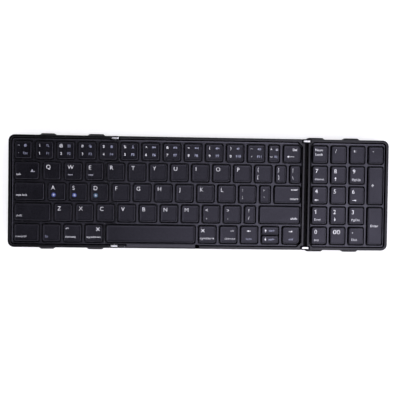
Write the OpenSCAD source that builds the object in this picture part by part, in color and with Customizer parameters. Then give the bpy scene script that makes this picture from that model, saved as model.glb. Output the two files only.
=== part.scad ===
// Folding keyboard: three panels, two double-pivot folds, numeric pad on the right.
// Millimetres, +Z up, unfolded and standing on its feet at Z = 0.
// Origin: middle of the footprint, on the surface. X runs along the rows to the
// right, Y towards the back edge. Plan positions below are measured from the left
// edge (x) and from the back edge (y) and turned into the frame by PX() and PY().

/* [Overall] */
// Width of the unfolded keyboard
total_w = 341; // [340:0.5:344]
// Depth of the body, without the rubber feet
depth = 100; // [100:0.1:100.6]
// Height of the rim above the table
rim_z = 10; // [10:0.1:10.4]
// Radius of the four outer corners in plan
corner_r = 5.5; // [4.5:0.5:7]

/* [Panels] */
// Position of the left fold line
left_fold = 94; // [93.9:0.05:94.1]
// Position of the right fold line
right_fold = 266; // [265.9:0.05:266.1]
// Width of the open channel at the right fold
channel_w = 3.2; // [3.1:0.05:3.3]
// Gap between the interlocking edges of the left fold
part_gap = 0.4; // [0.35:0.05:0.5]
// Height of the side panels' underside
side_z = 3; // [2.8:0.1:3.2]
// Height of the middle panel's underside
mid_z = 0.8; // [0.6:0.1:1]
// Floor thickness of the cases
floor_t = 1; // [0.8:0.1:1]
// Width of the raised rim
rim_w = 2.3; // [2.1:0.1:2.4]
// Width of the seam groove between rim and deck
groove_w = 0.8; // [0.6:0.1:0.8]
// Height of the deck's top face
deck_z = 8.4; // [8.2:0.1:8.4]
// Thickness of the deck
deck_t = 1; // [0.9:0.1:1.1]

/* [Keys] */
// Pitch of the rows
row_pitch = 18.36; // [18.3:0.02:18.4]
// Key pitch on the left panel
left_pitch = 18.8; // [18.7:0.05:18.85]
// Key pitch on the middle panel
mid_pitch = 18.9; // [18.85:0.05:18.95]
// Column pitch of the numeric pad
pad_pitch = 16.95; // [16.9:0.05:17]
// Gap between a key cap and its opening
key_gap = 1; // [0.8:0.1:1.1]
// Key travel
travel = 1.5; // [1.2:0.1:1.5]
// Height of the key tops
key_top = 9.8; // [9.6:0.1:9.8]
// Height of a key cap
cap_h = 2; // [1.8:0.1:2]

/* [Hinges] */
// Spacing of the two pins of a link
pin_gap = 3.8; // [3.7:0.05:3.9]
// Pin radius
pin_r = 0.7; // [0.6:0.05:0.75]
// Radial clearance of a pin in its ear
pin_clear = 0.05; // [0.02:0.01:0.08]
// Height of the pin axes
pin_z = 8.5; // [8.5:0.05:8.6]
// Radius of the link ends and ears
link_r = 1.45; // [1.35:0.05:1.45]

/* [Feet] */
// How far the side feet stand out past the long edges
foot_out = 1.6; // [1.2:0.1:1.8]
// Height of the side feet's wrapped part
foot_h = 7.2; // [5:0.2:7.6]

/* [Hidden] */

$fn = 48;
function PX(x) = x - total_w/2;
function PY(y) = depth/2 - y;

ledge_z = deck_z - deck_t;          // ledge that carries the deck
wall = 4.1;                         // outer wall below the ledge
thin = 0.55;                        // wall along the interlocking edge
half_gap = part_gap/2;
side_gap = 0.15;                    // half gap between interlocking row ends
border = 3.65;                      // depth of the straight strips at the hinges
mid_end = right_fold - channel_w/2; // right edge of the middle panel
pad_start = right_fold + channel_w/2;
notch_half = 4.2;                   // half length of a hinge notch
notch_z = 6.8;
cap_y = 1.05;                       // hinge cap, from the long edge inwards
link_y = 2.6;                       // link, from cap_y to here
ear_y0 = 2.7;
ear_y1 = 3.5;
plate_z = 4.1;                      // key plate, with the membrane on it
plate_t = 0.4;
film_t = 0.3;
film_z = plate_z + plate_t + film_t;
key_low = key_top - cap_h;
row0 = 13.55;                       // centre of the first row
cell = 16;                          // key cell: cap plus half of each gap
corner_cut = 2.3;                   // corner cut off the two keys beside the right fold's ends
fold_rim = 1.7;                     // rim along the right fold
fold_deck = 2.4;                    // from the right fold's channel to the deck
fold_wall = 2.8;                    // wall along the right fold, below the ledge
function row_y(i) = row0 + row_pitch*i;

// A cell is [x0, y0, x1, y1], and 1 or -1 after it cuts its back or front right corner off
function key(xc, i, w = cell) = [xc - w/2, row_y(i) - cell/2, xc + w/2, row_y(i) + cell/2];
function span(x0, x1, i) = [x0, row_y(i) - cell/2, x1, row_y(i) + cell/2];
function run(x0, n, p, i) = [for (k = [0:n-1]) key(x0 + p*k, i)];

first_left = [31.5, 38.25, 42.75, 48.5, 38.3];
count_left = [4, 3, 3, 3, 3];
first_mid = [106.8, 94.7, 99.5, 104.9, 94.5];

left_number = concat([span(5.2, 20.7, 0)], run(first_left[0], 4, left_pitch, 0));
tab = [span(5.2, 27.2, 1)];
left_upper = run(first_left[1], 3, left_pitch, 1);
caps_lock = [span(5.2, 32, 2)];
left_home = run(first_left[2], 3, left_pitch, 2);
left_shift = [span(5.2, 37.7, 3)];
left_lower = run(first_left[3], 3, left_pitch, 3);
left_bottom = concat([span(5.2, 27.6, 4)], run(first_left[4], 3, left_pitch, 4));
left_cells = concat(left_number, tab, left_upper, caps_lock, left_home, left_shift,
    left_lower, left_bottom);

mid_number = concat(run(first_mid[0], 7, mid_pitch, 0), [span(231.4, 241.6, 0)]);
backspace = [concat(span(244.7, 260.9, 0), [1])];
mid_upper = concat(run(first_mid[1], 8, mid_pitch, 1), [span(237.9, 247.9, 1), span(250.8, 260.9, 1)]);
mid_home = concat(run(first_mid[2], 7, mid_pitch, 2), [span(223.9, 233.9, 2)]);
enter = [span(236.9, 260.9, 2)];
mid_lower = concat(run(first_mid[3], 6, mid_pitch, 3), [span(210.4, 220.7, 3)]);
right_shift = [span(223.7, 260.8, 3)];
space = [span(first_mid[4] - cell/2, 166.5, 4)];
arrow_x = 177.3 + 3*mid_pitch;
function half_cell(k) = [arrow_x - cell/2, row_y(4) - cell/2 + k*cell/2,
    arrow_x + cell/2, row_y(4) + k*cell/2];
right_arrow = concat(key(177.3 + 4*mid_pitch, 4), [-1]);
mid_bottom = concat(run(177.3, 3, mid_pitch, 4), [half_cell(0), half_cell(1)], [right_arrow]);
mid_wide = concat(mid_number, backspace, mid_upper, mid_home, enter, mid_lower,
    right_shift, space);
mid_cells = concat(mid_wide, mid_bottom);
mid_openings = concat(mid_wide, run(177.3, 4, mid_pitch, 4), [right_arrow]);

pad_x = 278.4;
pad_cell = 14.3;
function pad(i, n) = [for (k = [0:n-1]) key(pad_x + pad_pitch*k, i, pad_cell)];
function tall(i) = [pad_x + 3*pad_pitch - pad_cell/2, row_y(i) - cell/2,
    pad_x + 3*pad_pitch + pad_cell/2, row_y(i+1) + cell/2];
pad_tall = [tall(1), tall(3)];
pad_cells = concat(pad(0, 4), pad(1, 3), pad(2, 3), pad(3, 3), pad(4, 3), pad_tall);

// Where row i parts between the left and the middle panel
function part_x(i) = (first_left[i] + left_pitch*(count_left[i]-1) + cell/2 + first_mid[i] - cell/2)/2;
function row_top(i) = i == 0 ? border : row_y(i) - row_pitch/2;
function row_end(i) = i == 4 ? depth - border : row_y(i) + row_pitch/2;

left_screw_at = [for (x = [12, 50, 78], i = [0, 3]) [x, row_end(i)]];
mid_screw_at = [for (x = [110, 176, 250], i = [0, 3]) [x, row_end(i)]];
pad_screw_at = concat([for (x = [286.9, 320.8], i = [0, 3]) [x, row_end(i)]],
    [for (i = [1, 2]) [303.8, row_end(i)]]);

usb_x = 150;
inner_pin = [left_fold + pin_gap/2, right_fold - pin_gap/2];
outer_pin = [left_fold - pin_gap/2, right_fold + pin_gap/2];

// ---------- plan helpers ----------
module area(x0, y0, x1, y1) translate([PX(x0), PY(y1)]) square([x1 - x0, y1 - y0]);

module soft_area(x0, y0, x1, y1, r) {
    area(x0 + r, y0, x1 - r, y1);
    area(x0, y0 + r, x1, y1 - r);
    for (x = [x0 + r, x1 - r], y = [y0 + r, y1 - r]) translate([PX(x), PY(y)]) circle(r);
}

module slab(z0, z1) translate([0, 0, z0]) linear_extrude(z1 - z0) children();

// Ground of the middle panel along the left fold, grown by gx and gy
module mid_side(gx, gy) {
    for (i = [0:4]) area(part_x(i) - gx, row_top(i) - gy, 300, row_end(i) + gy);
    area(left_fold - gx, -9, 300, border + gy);
    area(left_fold - gx, depth - border - gy, 300, depth + 9);
}

// Ground of the left panel along the left fold, grown by gx and gy
module left_side(gx, gy) {
    for (i = [0:4]) area(-9, row_top(i) - gy, part_x(i) + gx, row_end(i) + gy);
    area(-9, -9, left_fold + gx, border + gy);
    area(-9, depth - border - gy, left_fold + gx, depth + 9);
}

module left_full(d) {
    r = max(corner_r - d, 1);
    area(d + r, d, 110, depth - d);
    area(d, d + r, 110, depth - d - r);
    for (y = [d + r, depth - d - r]) translate([PX(d + r), PY(y)]) circle(r);
}

module pad_full(d, dl) {
    r = max(corner_r - d, 1);
    area(pad_start + dl, d, total_w - d - r, depth - d);
    area(pad_start + dl, d + r, total_w - d, depth - d - r);
    for (y = [d + r, depth - d - r]) translate([PX(total_w - d - r), PY(y)]) circle(r);
}

module left_plan(d, gx, gy) difference() {
    left_full(d);
    mid_side(half_gap + gx, side_gap + gy);
}

module mid_plan(d, dr, gx, gy) difference() {
    area(80, d, mid_end - dr, depth - d);
    left_side(half_gap + gx, side_gap + gy);
}

// Plan of a cell, d inside its edges
module cell_area(c, d, r) difference() {
    soft_area(c[0] + d, c[1] + d, c[2] - d, c[3] - d, r);
    if (len(c) > 4) corner(c[2] - d, c[4] > 0 ? c[1] + d : c[3] - d, corner_cut - d*(2 - sqrt(2)), 1, c[4]);
}

// Triangle that cuts a corner at (x, y): sx is 1 for a right corner, sy is 1 for a back one
module corner(x, y, leg, sx, sy) polygon([[PX(x - sx*leg), PY(y)], [PX(x - sx*leg), PY(y - sy)],
    [PX(x + sx), PY(y - sy)], [PX(x + sx), PY(y + sy*leg)], [PX(x), PY(y + sy*leg)]]);

// Both corners of a panel beside the right fold, d inside its long edges
module fold_corners(x, d, leg, sx) {
    corner(x, d, leg, sx, 1);
    corner(x, depth - d, leg, sx, -1);
}

module openings(cells) for (c = cells) cell_area(c, -key_gap/2, 2);

module hinge_notch(f) {
    area(f - notch_half, -9, f + notch_half, border + side_gap);
    area(f - notch_half, depth - border - side_gap, f + notch_half, depth + 9);
}

module dots(at, r) for (p = at) translate([PX(p[0]), PY(p[1])]) circle(r);

// ---------- hinge helpers ----------
module across(x, z, y0, y1, r) translate([PX(x), PY(y0), z]) rotate([90, 0, 0]) cylinder(h = y1 - y0, r = r);

module block(x0, y0, z0, x1, y1, z1) translate([PX(x0), PY(y1), z0]) cube([x1 - x0, y1 - y0, z1 - z0]);

module both_ends() {
    children();
    mirror([0, 1, 0]) children();
}

module link_shape(f, y0, y1) {
    for (x = [f - pin_gap/2, f + pin_gap/2]) across(x, pin_z, y0, y1, link_r);
    block(f - pin_gap/2, y0, pin_z - link_r, f + pin_gap/2, y1, pin_z + link_r);
}

// Ear with its stem from x0 to x1, standing on the floor of the notch
module ear(px, x0, x1) {
    across(px, pin_z, ear_y0, ear_y1, link_r);
    block(x0, ear_y0, notch_z - 0.3, x1, ear_y1, pin_z);
}

module ear_bore(px) across(px, pin_z, ear_y0 - 0.2, ear_y1 + 0.2, pin_r + pin_clear);

// ---------- shared bodies ----------
module screw_cuts(z0, at) {
    slab(z0 - 1, z0 + 0.5) dots(at, 1.9);
    slab(z0 - 1, plate_z) dots(at, 0.75);
}

module screws(z0, at) color("#3a3b3f") {
    slab(z0 + 0.05, z0 + 0.5) dots(at, 1.7);
    slab(z0 + 0.4, 7) dots(at, 0.6);
}

module posts(at) difference() {
    slab(film_z + 0.2, ledge_z + 0.1) dots(at, 1.3);
    slab(film_z, 7.1) dots(at, 0.6);
}

module caps(cells) color("#26262c") for (c = cells) cap(c);

module cap(c) {
    g = key_gap/2;
    w = g + 0.9;
    difference() {
        slab(key_low, key_top) cell_area(c, g, 1.6);
        slab(key_low - 1, key_top - 1) cell_area(c, w, 0.8);
    }
}

// Room under a cap: length and width of the scissor frames
function fit_x(c) = min(11, c[2] - c[0] - key_gap - 2.1);
function fit_y(c) = min(10, c[3] - c[1] - key_gap - 2);
function bar(c) = min(fit_x(c), fit_y(c)) < 8 ? 0.6 : 0.9;

module ring(l, w, t) difference() {
    cube([l, w, 0.6], center = true);
    cube([l - 2*t, w - 2*t, 2], center = true);
}

module scissors(cells) color("#d9d9d6") for (c = cells) {
    lx = fit_x(c);
    ly = fit_y(c);
    l = max(lx, ly);
    w = min(lx, ly);
    t = bar(c);
    a = asin(3/l);
    translate([PX((c[0] + c[2])/2), PY((c[1] + c[3])/2), 6.8]) rotate([0, 0, lx < ly ? 90 : 0]) {
        rotate([0, a, 0]) ring(l, w, t);
        rotate([0, -a, 0]) ring(l, w - 2*t - 0.2, t);
    }
}

module domes(cells) color("#e8e6e0") for (c = cells) {
    r = min(2.7, min(fit_x(c), fit_y(c))/2 - 2*bar(c) - 0.25);
    translate([PX((c[0] + c[2])/2), PY((c[1] + c[3])/2), film_z]) difference() {
        cylinder(h = 3.9, r1 = r, r2 = 0.6*r);
        translate([0, 0, -0.01]) cylinder(h = 3.3, r1 = r - 0.35, r2 = 0.6*r - 0.3);
    }
}

// One rubber foot on the back edge, from x0 to x1, with sloped ends
module foot(x0, x1) {
    slab(0, foot_h) polygon([[PX(x0), PY(0)], [PX(x0 + 2), PY(-foot_out)],
        [PX(x1 - 2), PY(-foot_out)], [PX(x1), PY(0)]]);
    slab(0, side_z) area(x0, 0, x1, 6);
}

module side_feet(spots) color("#1c1c1e") both_ends() for (s = spots) foot(s[0], s[1]);

// ---------- left panel ----------
module left_case() color("#2b2b30") {
    difference() {
        union() {
            difference() {
                slab(side_z, rim_z) left_plan(0, 0, 0);
                slab(side_z + floor_t, ledge_z + 1) left_plan(wall, thin, 0.4);
                slab(ledge_z, rim_z + 1) left_full(rim_w);
                slab(notch_z, rim_z + 1) hinge_notch(left_fold);
                slab(film_z - 0.05, film_z + 0.5) area(93, row_y(3) - 6, 98, row_y(3) + 6);
                screw_cuts(side_z, left_screw_at);
            }
            both_ends() ear(outer_pin[0], outer_pin[0] - link_r, outer_pin[0] + link_r);
        }
        both_ends() ear_bore(outer_pin[0]);
    }
}

module left_deck() color("#33333a") {
    difference() {
        slab(ledge_z, deck_z) left_plan(rim_w + groove_w, 0, 0);
        slab(ledge_z - 1, deck_z + 1) {
            openings(left_cells);
            hinge_notch(left_fold);
        }
    }
    posts(left_screw_at);
}

module left_key_plate() color("#a9abae") slab(plate_z, plate_z + plate_t) difference() {
    left_plan(wall + 0.2, thin + 0.2, 0.6);
    dots(left_screw_at, 0.9);
}

module left_membrane() color("#cfd6c4") slab(plate_z + plate_t, film_z) difference() {
    left_plan(wall + 0.6, thin + 0.5, 0.8);
    dots(left_screw_at, 1.2);
}

module left_domes() domes(left_cells);
module left_scissors() scissors(left_cells);
module left_feet() side_feet([[26.7, 41.9], [69, 85.2]]);
module left_screws() screws(side_z, left_screw_at);

// ---------- middle panel ----------
strip = [105, 96, 166.5, 99.4];     // front window strip
led_at = [[103.4, 98.6]];

module middle_case() color("#2b2b30") {
    difference() {
        union() {
            difference() {
                slab(mid_z, rim_z) mid_plan(0, 0, 0, 0);
                slab(mid_z + floor_t, ledge_z + 1) mid_plan(wall, fold_wall, thin, 0.4);
                slab(ledge_z, rim_z + 1) difference() {
                    area(80, rim_w, mid_end - fold_rim, depth - rim_w);
                    fold_corners(mid_end - fold_rim, rim_w, 4.4, 1);
                }
                slab(notch_z, rim_z + 1) {
                    hinge_notch(left_fold);
                    hinge_notch(right_fold);
                }
                slab(film_z - 0.05, film_z + 0.5) {
                    area(93, row_y(3) - 6, 98, row_y(3) + 6);
                    area(261, row_y(2) - 6, 266, row_y(2) + 6);
                }
                slab(deck_z, rim_z + 1) area(strip[0], strip[1] - 1, strip[2], strip[3]);
                slab(ledge_z, rim_z + 1) area(strip[2] + 0.1, 96.2, 169, 109);
                slab(9.2, rim_z + 1) dots(led_at, 0.5);
                translate([0, PY(-1), 3.6]) rotate([90, 0, 0]) linear_extrude(wall + 2)
                    translate([PX(usb_x), 0]) usb_outline(4.55, 1.68);
                screw_cuts(mid_z, mid_screw_at);
            }
            both_ends() {
                ear(inner_pin[0], inner_pin[0] - link_r, inner_pin[0] + link_r);
                ear(inner_pin[1], inner_pin[1] - link_r, mid_end);
            }
        }
        both_ends() {
            ear_bore(inner_pin[0]);
            ear_bore(inner_pin[1]);
        }
    }
}

module middle_deck() color("#3a3a42") {
    difference() {
        slab(ledge_z, deck_z) difference() {
            mid_plan(rim_w + groove_w, fold_deck, 0, 0);
            fold_corners(mid_end - fold_deck, rim_w + groove_w, 4, 1);
        }
        slab(ledge_z - 1, deck_z + 1) {
            openings(mid_openings);
            hinge_notch(left_fold);
            hinge_notch(right_fold);
            area(strip[2] + 0.1, 96.2, 169, 109);
        }
    }
    posts(mid_screw_at);
}

module usb_gap() area(usb_x - 5.5, -1, usb_x + 5.5, 8.4);

module middle_key_plate() color("#a9abae") slab(plate_z, plate_z + plate_t) difference() {
    mid_plan(wall + 0.2, fold_wall + 0.2, thin + 0.2, 0.6);
    dots(mid_screw_at, 0.9);
    usb_gap();
}

module middle_membrane() color("#cfd6c4") slab(plate_z + plate_t, film_z) difference() {
    mid_plan(wall + 0.6, fold_wall + 0.6, thin + 0.5, 0.8);
    dots(mid_screw_at, 1.2);
    usb_gap();
}

module middle_domes() domes(mid_cells);
module middle_scissors() scissors(mid_cells);

module middle_feet() color("#1c1c1e") slab(0, mid_z)
    for (x = [104, 226], y = [6, 89]) soft_area(x, y, x + 30, y + 5, 2.4);

module middle_screws() screws(mid_z, mid_screw_at);

module main_board() color("#1f5a37") {
    slab(mid_z + floor_t, mid_z + floor_t + 0.8) difference() {
        area(128, 8.2, 172, 42);
        dots([[131, 38.5], [169, 38.5]], 1);
    }
    slab(mid_z + floor_t + 0.8, 3.5) {
        area(143, 19, 150, 26);
        area(156, 30, 161, 35);
        area(133, 12, 136, 17);
        area(160, 11, 168, 13);
        area(134, 30, 142, 32);
    }
}

module battery() color("#b9bcc2") slab(mid_z + floor_t, 3.8) soft_area(182, 27, 244, 72, 2);

module usb_outline(hx, r) {
    square([2*(hx - r), 2*r], center = true);
    for (s = [-1, 1]) translate([s*(hx - r), 0]) circle(r);
}

module usb_port() color("#c9ccd1") translate([PX(usb_x), PY(0.4), 3.6]) rotate([90, 0, 0]) {
    difference() {
        linear_extrude(7.8) usb_outline(4.47, 1.6);
        translate([0, 0, -1]) linear_extrude(7.4) usb_outline(4.17, 1.3);
    }
    translate([-3.35, -0.35, 1]) cube([6.7, 0.7, 6]);
}

module indicator_window() color("#50505a") {
    slab(deck_z, 9.8) area(strip[0], strip[1], strip[2], strip[3]);
    slab(9.2, 9.95) dots(led_at, 0.5);
}

// ---------- right panel ----------
module right_case() color("#2b2b30") {
    difference() {
        union() {
            difference() {
                slab(side_z, rim_z) pad_full(0, 0);
                slab(side_z + floor_t, ledge_z + 1) pad_full(wall, fold_wall);
                slab(ledge_z, rim_z + 1) difference() {
                    pad_full(rim_w, fold_rim);
                    fold_corners(pad_start + fold_rim, rim_w, 3.4, -1);
                }
                slab(notch_z, rim_z + 1) hinge_notch(right_fold);
                slab(film_z - 0.05, film_z + 0.5) area(266, row_y(2) - 6, 271, row_y(2) + 6);
                screw_cuts(side_z, pad_screw_at);
            }
            both_ends() ear(outer_pin[1], pad_start, outer_pin[1] + link_r);
        }
        both_ends() ear_bore(outer_pin[1]);
    }
}

module right_deck() color("#3e3e46") {
    difference() {
        slab(ledge_z, deck_z) difference() {
            pad_full(rim_w + groove_w, fold_deck);
            fold_corners(pad_start + fold_deck, rim_w + groove_w, 3, -1);
        }
        slab(ledge_z - 1, deck_z + 1) {
            openings(pad_cells);
            hinge_notch(right_fold);
        }
    }
    posts(pad_screw_at);
}

module right_key_plate() color("#a9abae") slab(plate_z, plate_z + plate_t) difference() {
    pad_full(wall + 0.2, fold_wall + 0.2);
    dots(pad_screw_at, 0.9);
}

module right_membrane() color("#cfd6c4") slab(plate_z + plate_t, film_z) difference() {
    pad_full(wall + 0.6, fold_wall + 0.6);
    dots(pad_screw_at, 1.2);
}

module right_domes() domes(pad_cells);
module right_scissors() scissors(pad_cells);
module right_feet() side_feet([[266.2, 283.1], [299, 315.2]]);
module right_screws() screws(side_z, pad_screw_at);

// ---------- folds ----------
module links(f, tab) color("#e6e7ea") both_ends() difference() {
    union() {
        link_shape(f, cap_y, link_y);
        if (tab) block(f - 1.2, cap_y, 4.5, f + 1.2, link_y, pin_z);
    }
    for (x = [f - pin_gap/2, f + pin_gap/2]) across(x, pin_z, cap_y - 1, link_y + 1, pin_r);
}

module pins(f) color("#9a9ca0") both_ends()
    for (x = [f - pin_gap/2, f + pin_gap/2]) across(x, pin_z, cap_y, ear_y1 - 0.1, pin_r);

module hinge_caps(f) color("#1e1e21") both_ends() link_shape(f, 0, cap_y);

module left_hinge_links() links(left_fold, false);
module left_hinge_pins() pins(left_fold);
module left_hinge_caps() hinge_caps(left_fold);
module left_flex_cable() color("#b5712d")
    block(92.2, row_y(3) - 5.6, film_z, 98.8, row_y(3) + 5.6, film_z + 0.2);

module right_hinge_links() links(right_fold, true);
module right_hinge_pins() pins(right_fold);
module right_hinge_caps() hinge_caps(right_fold);

// Spine bar in the channel, with a slot for the flat cable
module right_hinge_spine() color("#141416") difference() {
    translate([PX(right_fold), PY(link_y), 5.3]) rotate([90, 0, 0])
        linear_extrude(depth - 2*link_y) {
            square([1.4, 3], center = true);
            square([2.4, 2], center = true);
            for (x = [-0.7, 0.7], y = [-1, 1]) translate([x, y]) circle(0.5);
        }
    block(right_fold - 2, row_y(2) - 6, film_z - 0.15, right_fold + 2, row_y(2) + 6, film_z + 0.4);
}

module right_flex_cable() color("#b5712d")
    block(257, row_y(2) - 5.6, film_z, 272, row_y(2) + 5.6, film_z + 0.2);

// ---------- keys ----------
module left_number_keys() caps(left_number);
module tab_key() caps(tab);
module left_upper_keys() caps(left_upper);
module caps_lock_key() caps(caps_lock);
module left_home_keys() caps(left_home);
module left_shift_key() caps(left_shift);
module left_lower_keys() caps(left_lower);
module left_bottom_keys() caps(left_bottom);
module middle_number_keys() caps(mid_number);
module backspace_key() caps(backspace);
module middle_upper_keys() caps(mid_upper);
module middle_home_keys() caps(mid_home);
module enter_key() caps(enter);
module middle_lower_keys() caps(mid_lower);
module right_shift_key() caps(right_shift);
module space_key() caps(space);
module middle_bottom_keys() caps(mid_bottom);
module pad_top_keys() caps(pad(0, 4));
module pad_789_keys() caps(pad(1, 3));
module pad_456_keys() caps(pad(2, 3));
module pad_123_keys() caps(pad(3, 3));
module pad_0_keys() caps(pad(4, 3));
module pad_tall_keys() caps(pad_tall);

left_case();
left_deck();
left_key_plate();
left_membrane();
left_domes();
left_scissors();
left_feet();
left_screws();
middle_case();
middle_deck();
middle_key_plate();
middle_membrane();
middle_domes();
middle_scissors();
middle_feet();
middle_screws();
main_board();
battery();
usb_port();
indicator_window();
right_case();
right_deck();
right_key_plate();
right_membrane();
right_domes();
right_scissors();
right_feet();
right_screws();
left_hinge_links();
left_hinge_pins();
left_hinge_caps();
left_flex_cable();
right_hinge_links();
right_hinge_pins();
right_hinge_caps();
right_hinge_spine();
right_flex_cable();
left_number_keys();
tab_key();
left_upper_keys();
caps_lock_key();
left_home_keys();
left_shift_key();
left_lower_keys();
left_bottom_keys();
middle_number_keys();
backspace_key();
middle_upper_keys();
middle_home_keys();
enter_key();
middle_lower_keys();
right_shift_key();
space_key();
middle_bottom_keys();
pad_top_keys();
pad_789_keys();
pad_456_keys();
pad_123_keys();
pad_0_keys();
pad_tall_keys();
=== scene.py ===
import math

import bmesh
import bpy
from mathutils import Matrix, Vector


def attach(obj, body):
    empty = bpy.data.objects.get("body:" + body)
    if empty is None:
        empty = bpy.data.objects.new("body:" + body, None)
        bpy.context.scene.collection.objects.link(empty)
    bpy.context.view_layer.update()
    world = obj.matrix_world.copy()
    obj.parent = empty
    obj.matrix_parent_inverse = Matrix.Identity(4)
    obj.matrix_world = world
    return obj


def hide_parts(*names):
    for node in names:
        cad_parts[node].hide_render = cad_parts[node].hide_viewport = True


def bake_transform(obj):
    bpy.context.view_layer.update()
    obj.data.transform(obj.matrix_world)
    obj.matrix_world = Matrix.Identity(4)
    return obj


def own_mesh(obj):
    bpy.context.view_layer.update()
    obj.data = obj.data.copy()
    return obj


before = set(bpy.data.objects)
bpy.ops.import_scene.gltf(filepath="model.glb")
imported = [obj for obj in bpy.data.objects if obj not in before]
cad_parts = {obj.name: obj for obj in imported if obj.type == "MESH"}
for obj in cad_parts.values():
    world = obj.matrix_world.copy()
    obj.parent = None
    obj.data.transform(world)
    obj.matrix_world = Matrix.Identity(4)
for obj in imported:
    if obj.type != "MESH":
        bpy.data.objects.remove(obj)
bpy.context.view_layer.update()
scene = bpy.context.scene

# ------------------------------------------------------------------ sizes
# Millimetres. Plan positions are x from the left edge and y from the back edge, as in the CAD source.
MM = 0.001
TOTAL, DEPTH = 341.0, 100.0
RIM_Z, CORNER_R = 10.0, 5.5
LEFT_FOLD, RIGHT_FOLD = 94.0, 266.0
CHANNEL, PART_GAP, SIDE_GAP = 3.2, 0.4, 0.15
SIDE_Z, MID_Z, FLOOR_T = 3.0, 0.8, 1.0
RIM_W, GROOVE_W = 2.3, 0.8
DECK_Z, DECK_T = 8.4, 1.0
LEDGE_Z = DECK_Z - DECK_T
KEY_GAP, KEY_TOP, CAP_H = 1.0, 9.8, 2.0
KEY_LOW = KEY_TOP - CAP_H
PIN_GAP, PIN_Z, LINK_R = 3.8, 8.5, 1.45
WALL, THIN, BORDER = 4.1, 0.55, 3.65
NOTCH_HALF, NOTCH_Z = 4.2, 6.8
CAP_Y, LINK_Y, EAR_Y0, EAR_Y1 = 1.05, 2.6, 2.7, 3.5
FILM_Z = 4.8
ROW0, ROW_PITCH, CELL = 13.55, 18.36, 16.0
LEFT_PITCH, MID_PITCH, PAD_PITCH = 18.8, 18.9, 16.95
PAD_X, PAD_CELL = 278.4, 14.3
MID_END = RIGHT_FOLD - CHANNEL / 2
PAD_START = RIGHT_FOLD + CHANNEL / 2
FOLD_RIM, FOLD_DECK, FOLD_WALL, CORNER_CUT = 1.7, 2.4, 2.8, 2.3
FIRST_LEFT, COUNT_LEFT = [31.5, 38.25, 42.75, 48.5, 38.3], [4, 3, 3, 3, 3]
FIRST_MID = [106.8, 94.7, 99.5, 104.9, 94.5]
STRIP = (105.0, 96.0, 166.5, 99.4)
LED_AT = (103.4, 98.6)
USB_X = 150.0


def fx(x):
    return x - TOTAL / 2


def fy(y):
    return DEPTH / 2 - y


def row_y(i):
    return ROW0 + ROW_PITCH * i


def row_top(i):
    return BORDER if i == 0 else row_y(i) - ROW_PITCH / 2


def row_end(i):
    return DEPTH - BORDER if i == 4 else row_y(i) + ROW_PITCH / 2


def key(xc, i, w=CELL):
    return (xc - w / 2, row_y(i) - CELL / 2, xc + w / 2, row_y(i) + CELL / 2, 0)


def span(x0, x1, i, cut=0):
    return (x0, row_y(i) - CELL / 2, x1, row_y(i) + CELL / 2, cut)


def run(x0, n, p, i, w=CELL):
    return [key(x0 + p * k, i, w) for k in range(n)]


ARROW_X = 177.3 + 3 * MID_PITCH


def half_cell(k):
    return (ARROW_X - CELL / 2, row_y(4) - CELL / 2 + k * CELL / 2, ARROW_X + CELL / 2, row_y(4) + k * CELL / 2, 0)


def tall(i):
    return (PAD_X + 3 * PAD_PITCH - PAD_CELL / 2, row_y(i) - CELL / 2,
            PAD_X + 3 * PAD_PITCH + PAD_CELL / 2, row_y(i + 1) + CELL / 2, 0)


RIGHT_ARROW = key(177.3 + 4 * MID_PITCH, 4)[:4] + (-1,)
KEYS = {
    "left_number_keys": [span(5.2, 20.7, 0)] + run(FIRST_LEFT[0], 4, LEFT_PITCH, 0),
    "tab_key": [span(5.2, 27.2, 1)],
    "left_upper_keys": run(FIRST_LEFT[1], 3, LEFT_PITCH, 1),
    "caps_lock_key": [span(5.2, 32, 2)],
    "left_home_keys": run(FIRST_LEFT[2], 3, LEFT_PITCH, 2),
    "left_shift_key": [span(5.2, 37.7, 3)],
    "left_lower_keys": run(FIRST_LEFT[3], 3, LEFT_PITCH, 3),
    "left_bottom_keys": [span(5.2, 27.6, 4)] + run(FIRST_LEFT[4], 3, LEFT_PITCH, 4),
    "middle_number_keys": run(FIRST_MID[0], 7, MID_PITCH, 0) + [span(231.4, 241.6, 0)],
    "backspace_key": [span(244.7, 260.9, 0, 1)],
    "middle_upper_keys": run(FIRST_MID[1], 8, MID_PITCH, 1) + [span(237.9, 247.9, 1), span(250.8, 260.9, 1)],
    "middle_home_keys": run(FIRST_MID[2], 7, MID_PITCH, 2) + [span(223.9, 233.9, 2)],
    "enter_key": [span(236.9, 260.9, 2)],
    "middle_lower_keys": run(FIRST_MID[3], 6, MID_PITCH, 3) + [span(210.4, 220.7, 3)],
    "right_shift_key": [span(223.7, 260.8, 3)],
    "space_key": [span(FIRST_MID[4] - CELL / 2, 166.5, 4)],
    "middle_bottom_keys": run(177.3, 3, MID_PITCH, 4) + [half_cell(0), half_cell(1), RIGHT_ARROW],
    "pad_top_keys": run(PAD_X, 4, PAD_PITCH, 0, PAD_CELL),
    "pad_789_keys": run(PAD_X, 3, PAD_PITCH, 1, PAD_CELL),
    "pad_456_keys": run(PAD_X, 3, PAD_PITCH, 2, PAD_CELL),
    "pad_123_keys": run(PAD_X, 3, PAD_PITCH, 3, PAD_CELL),
    "pad_0_keys": run(PAD_X, 3, PAD_PITCH, 4, PAD_CELL),
    "pad_tall_keys": [tall(1), tall(3)],
}
LEFT_NODES = ["left_number_keys", "tab_key", "left_upper_keys", "caps_lock_key", "left_home_keys",
              "left_shift_key", "left_lower_keys", "left_bottom_keys"]
PAD_NODES = ["pad_top_keys", "pad_789_keys", "pad_456_keys", "pad_123_keys", "pad_0_keys", "pad_tall_keys"]
MID_NODES = [n for n in KEYS if n not in LEFT_NODES + PAD_NODES]
LEFT_OPEN = [c for n in LEFT_NODES for c in KEYS[n]]
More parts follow.
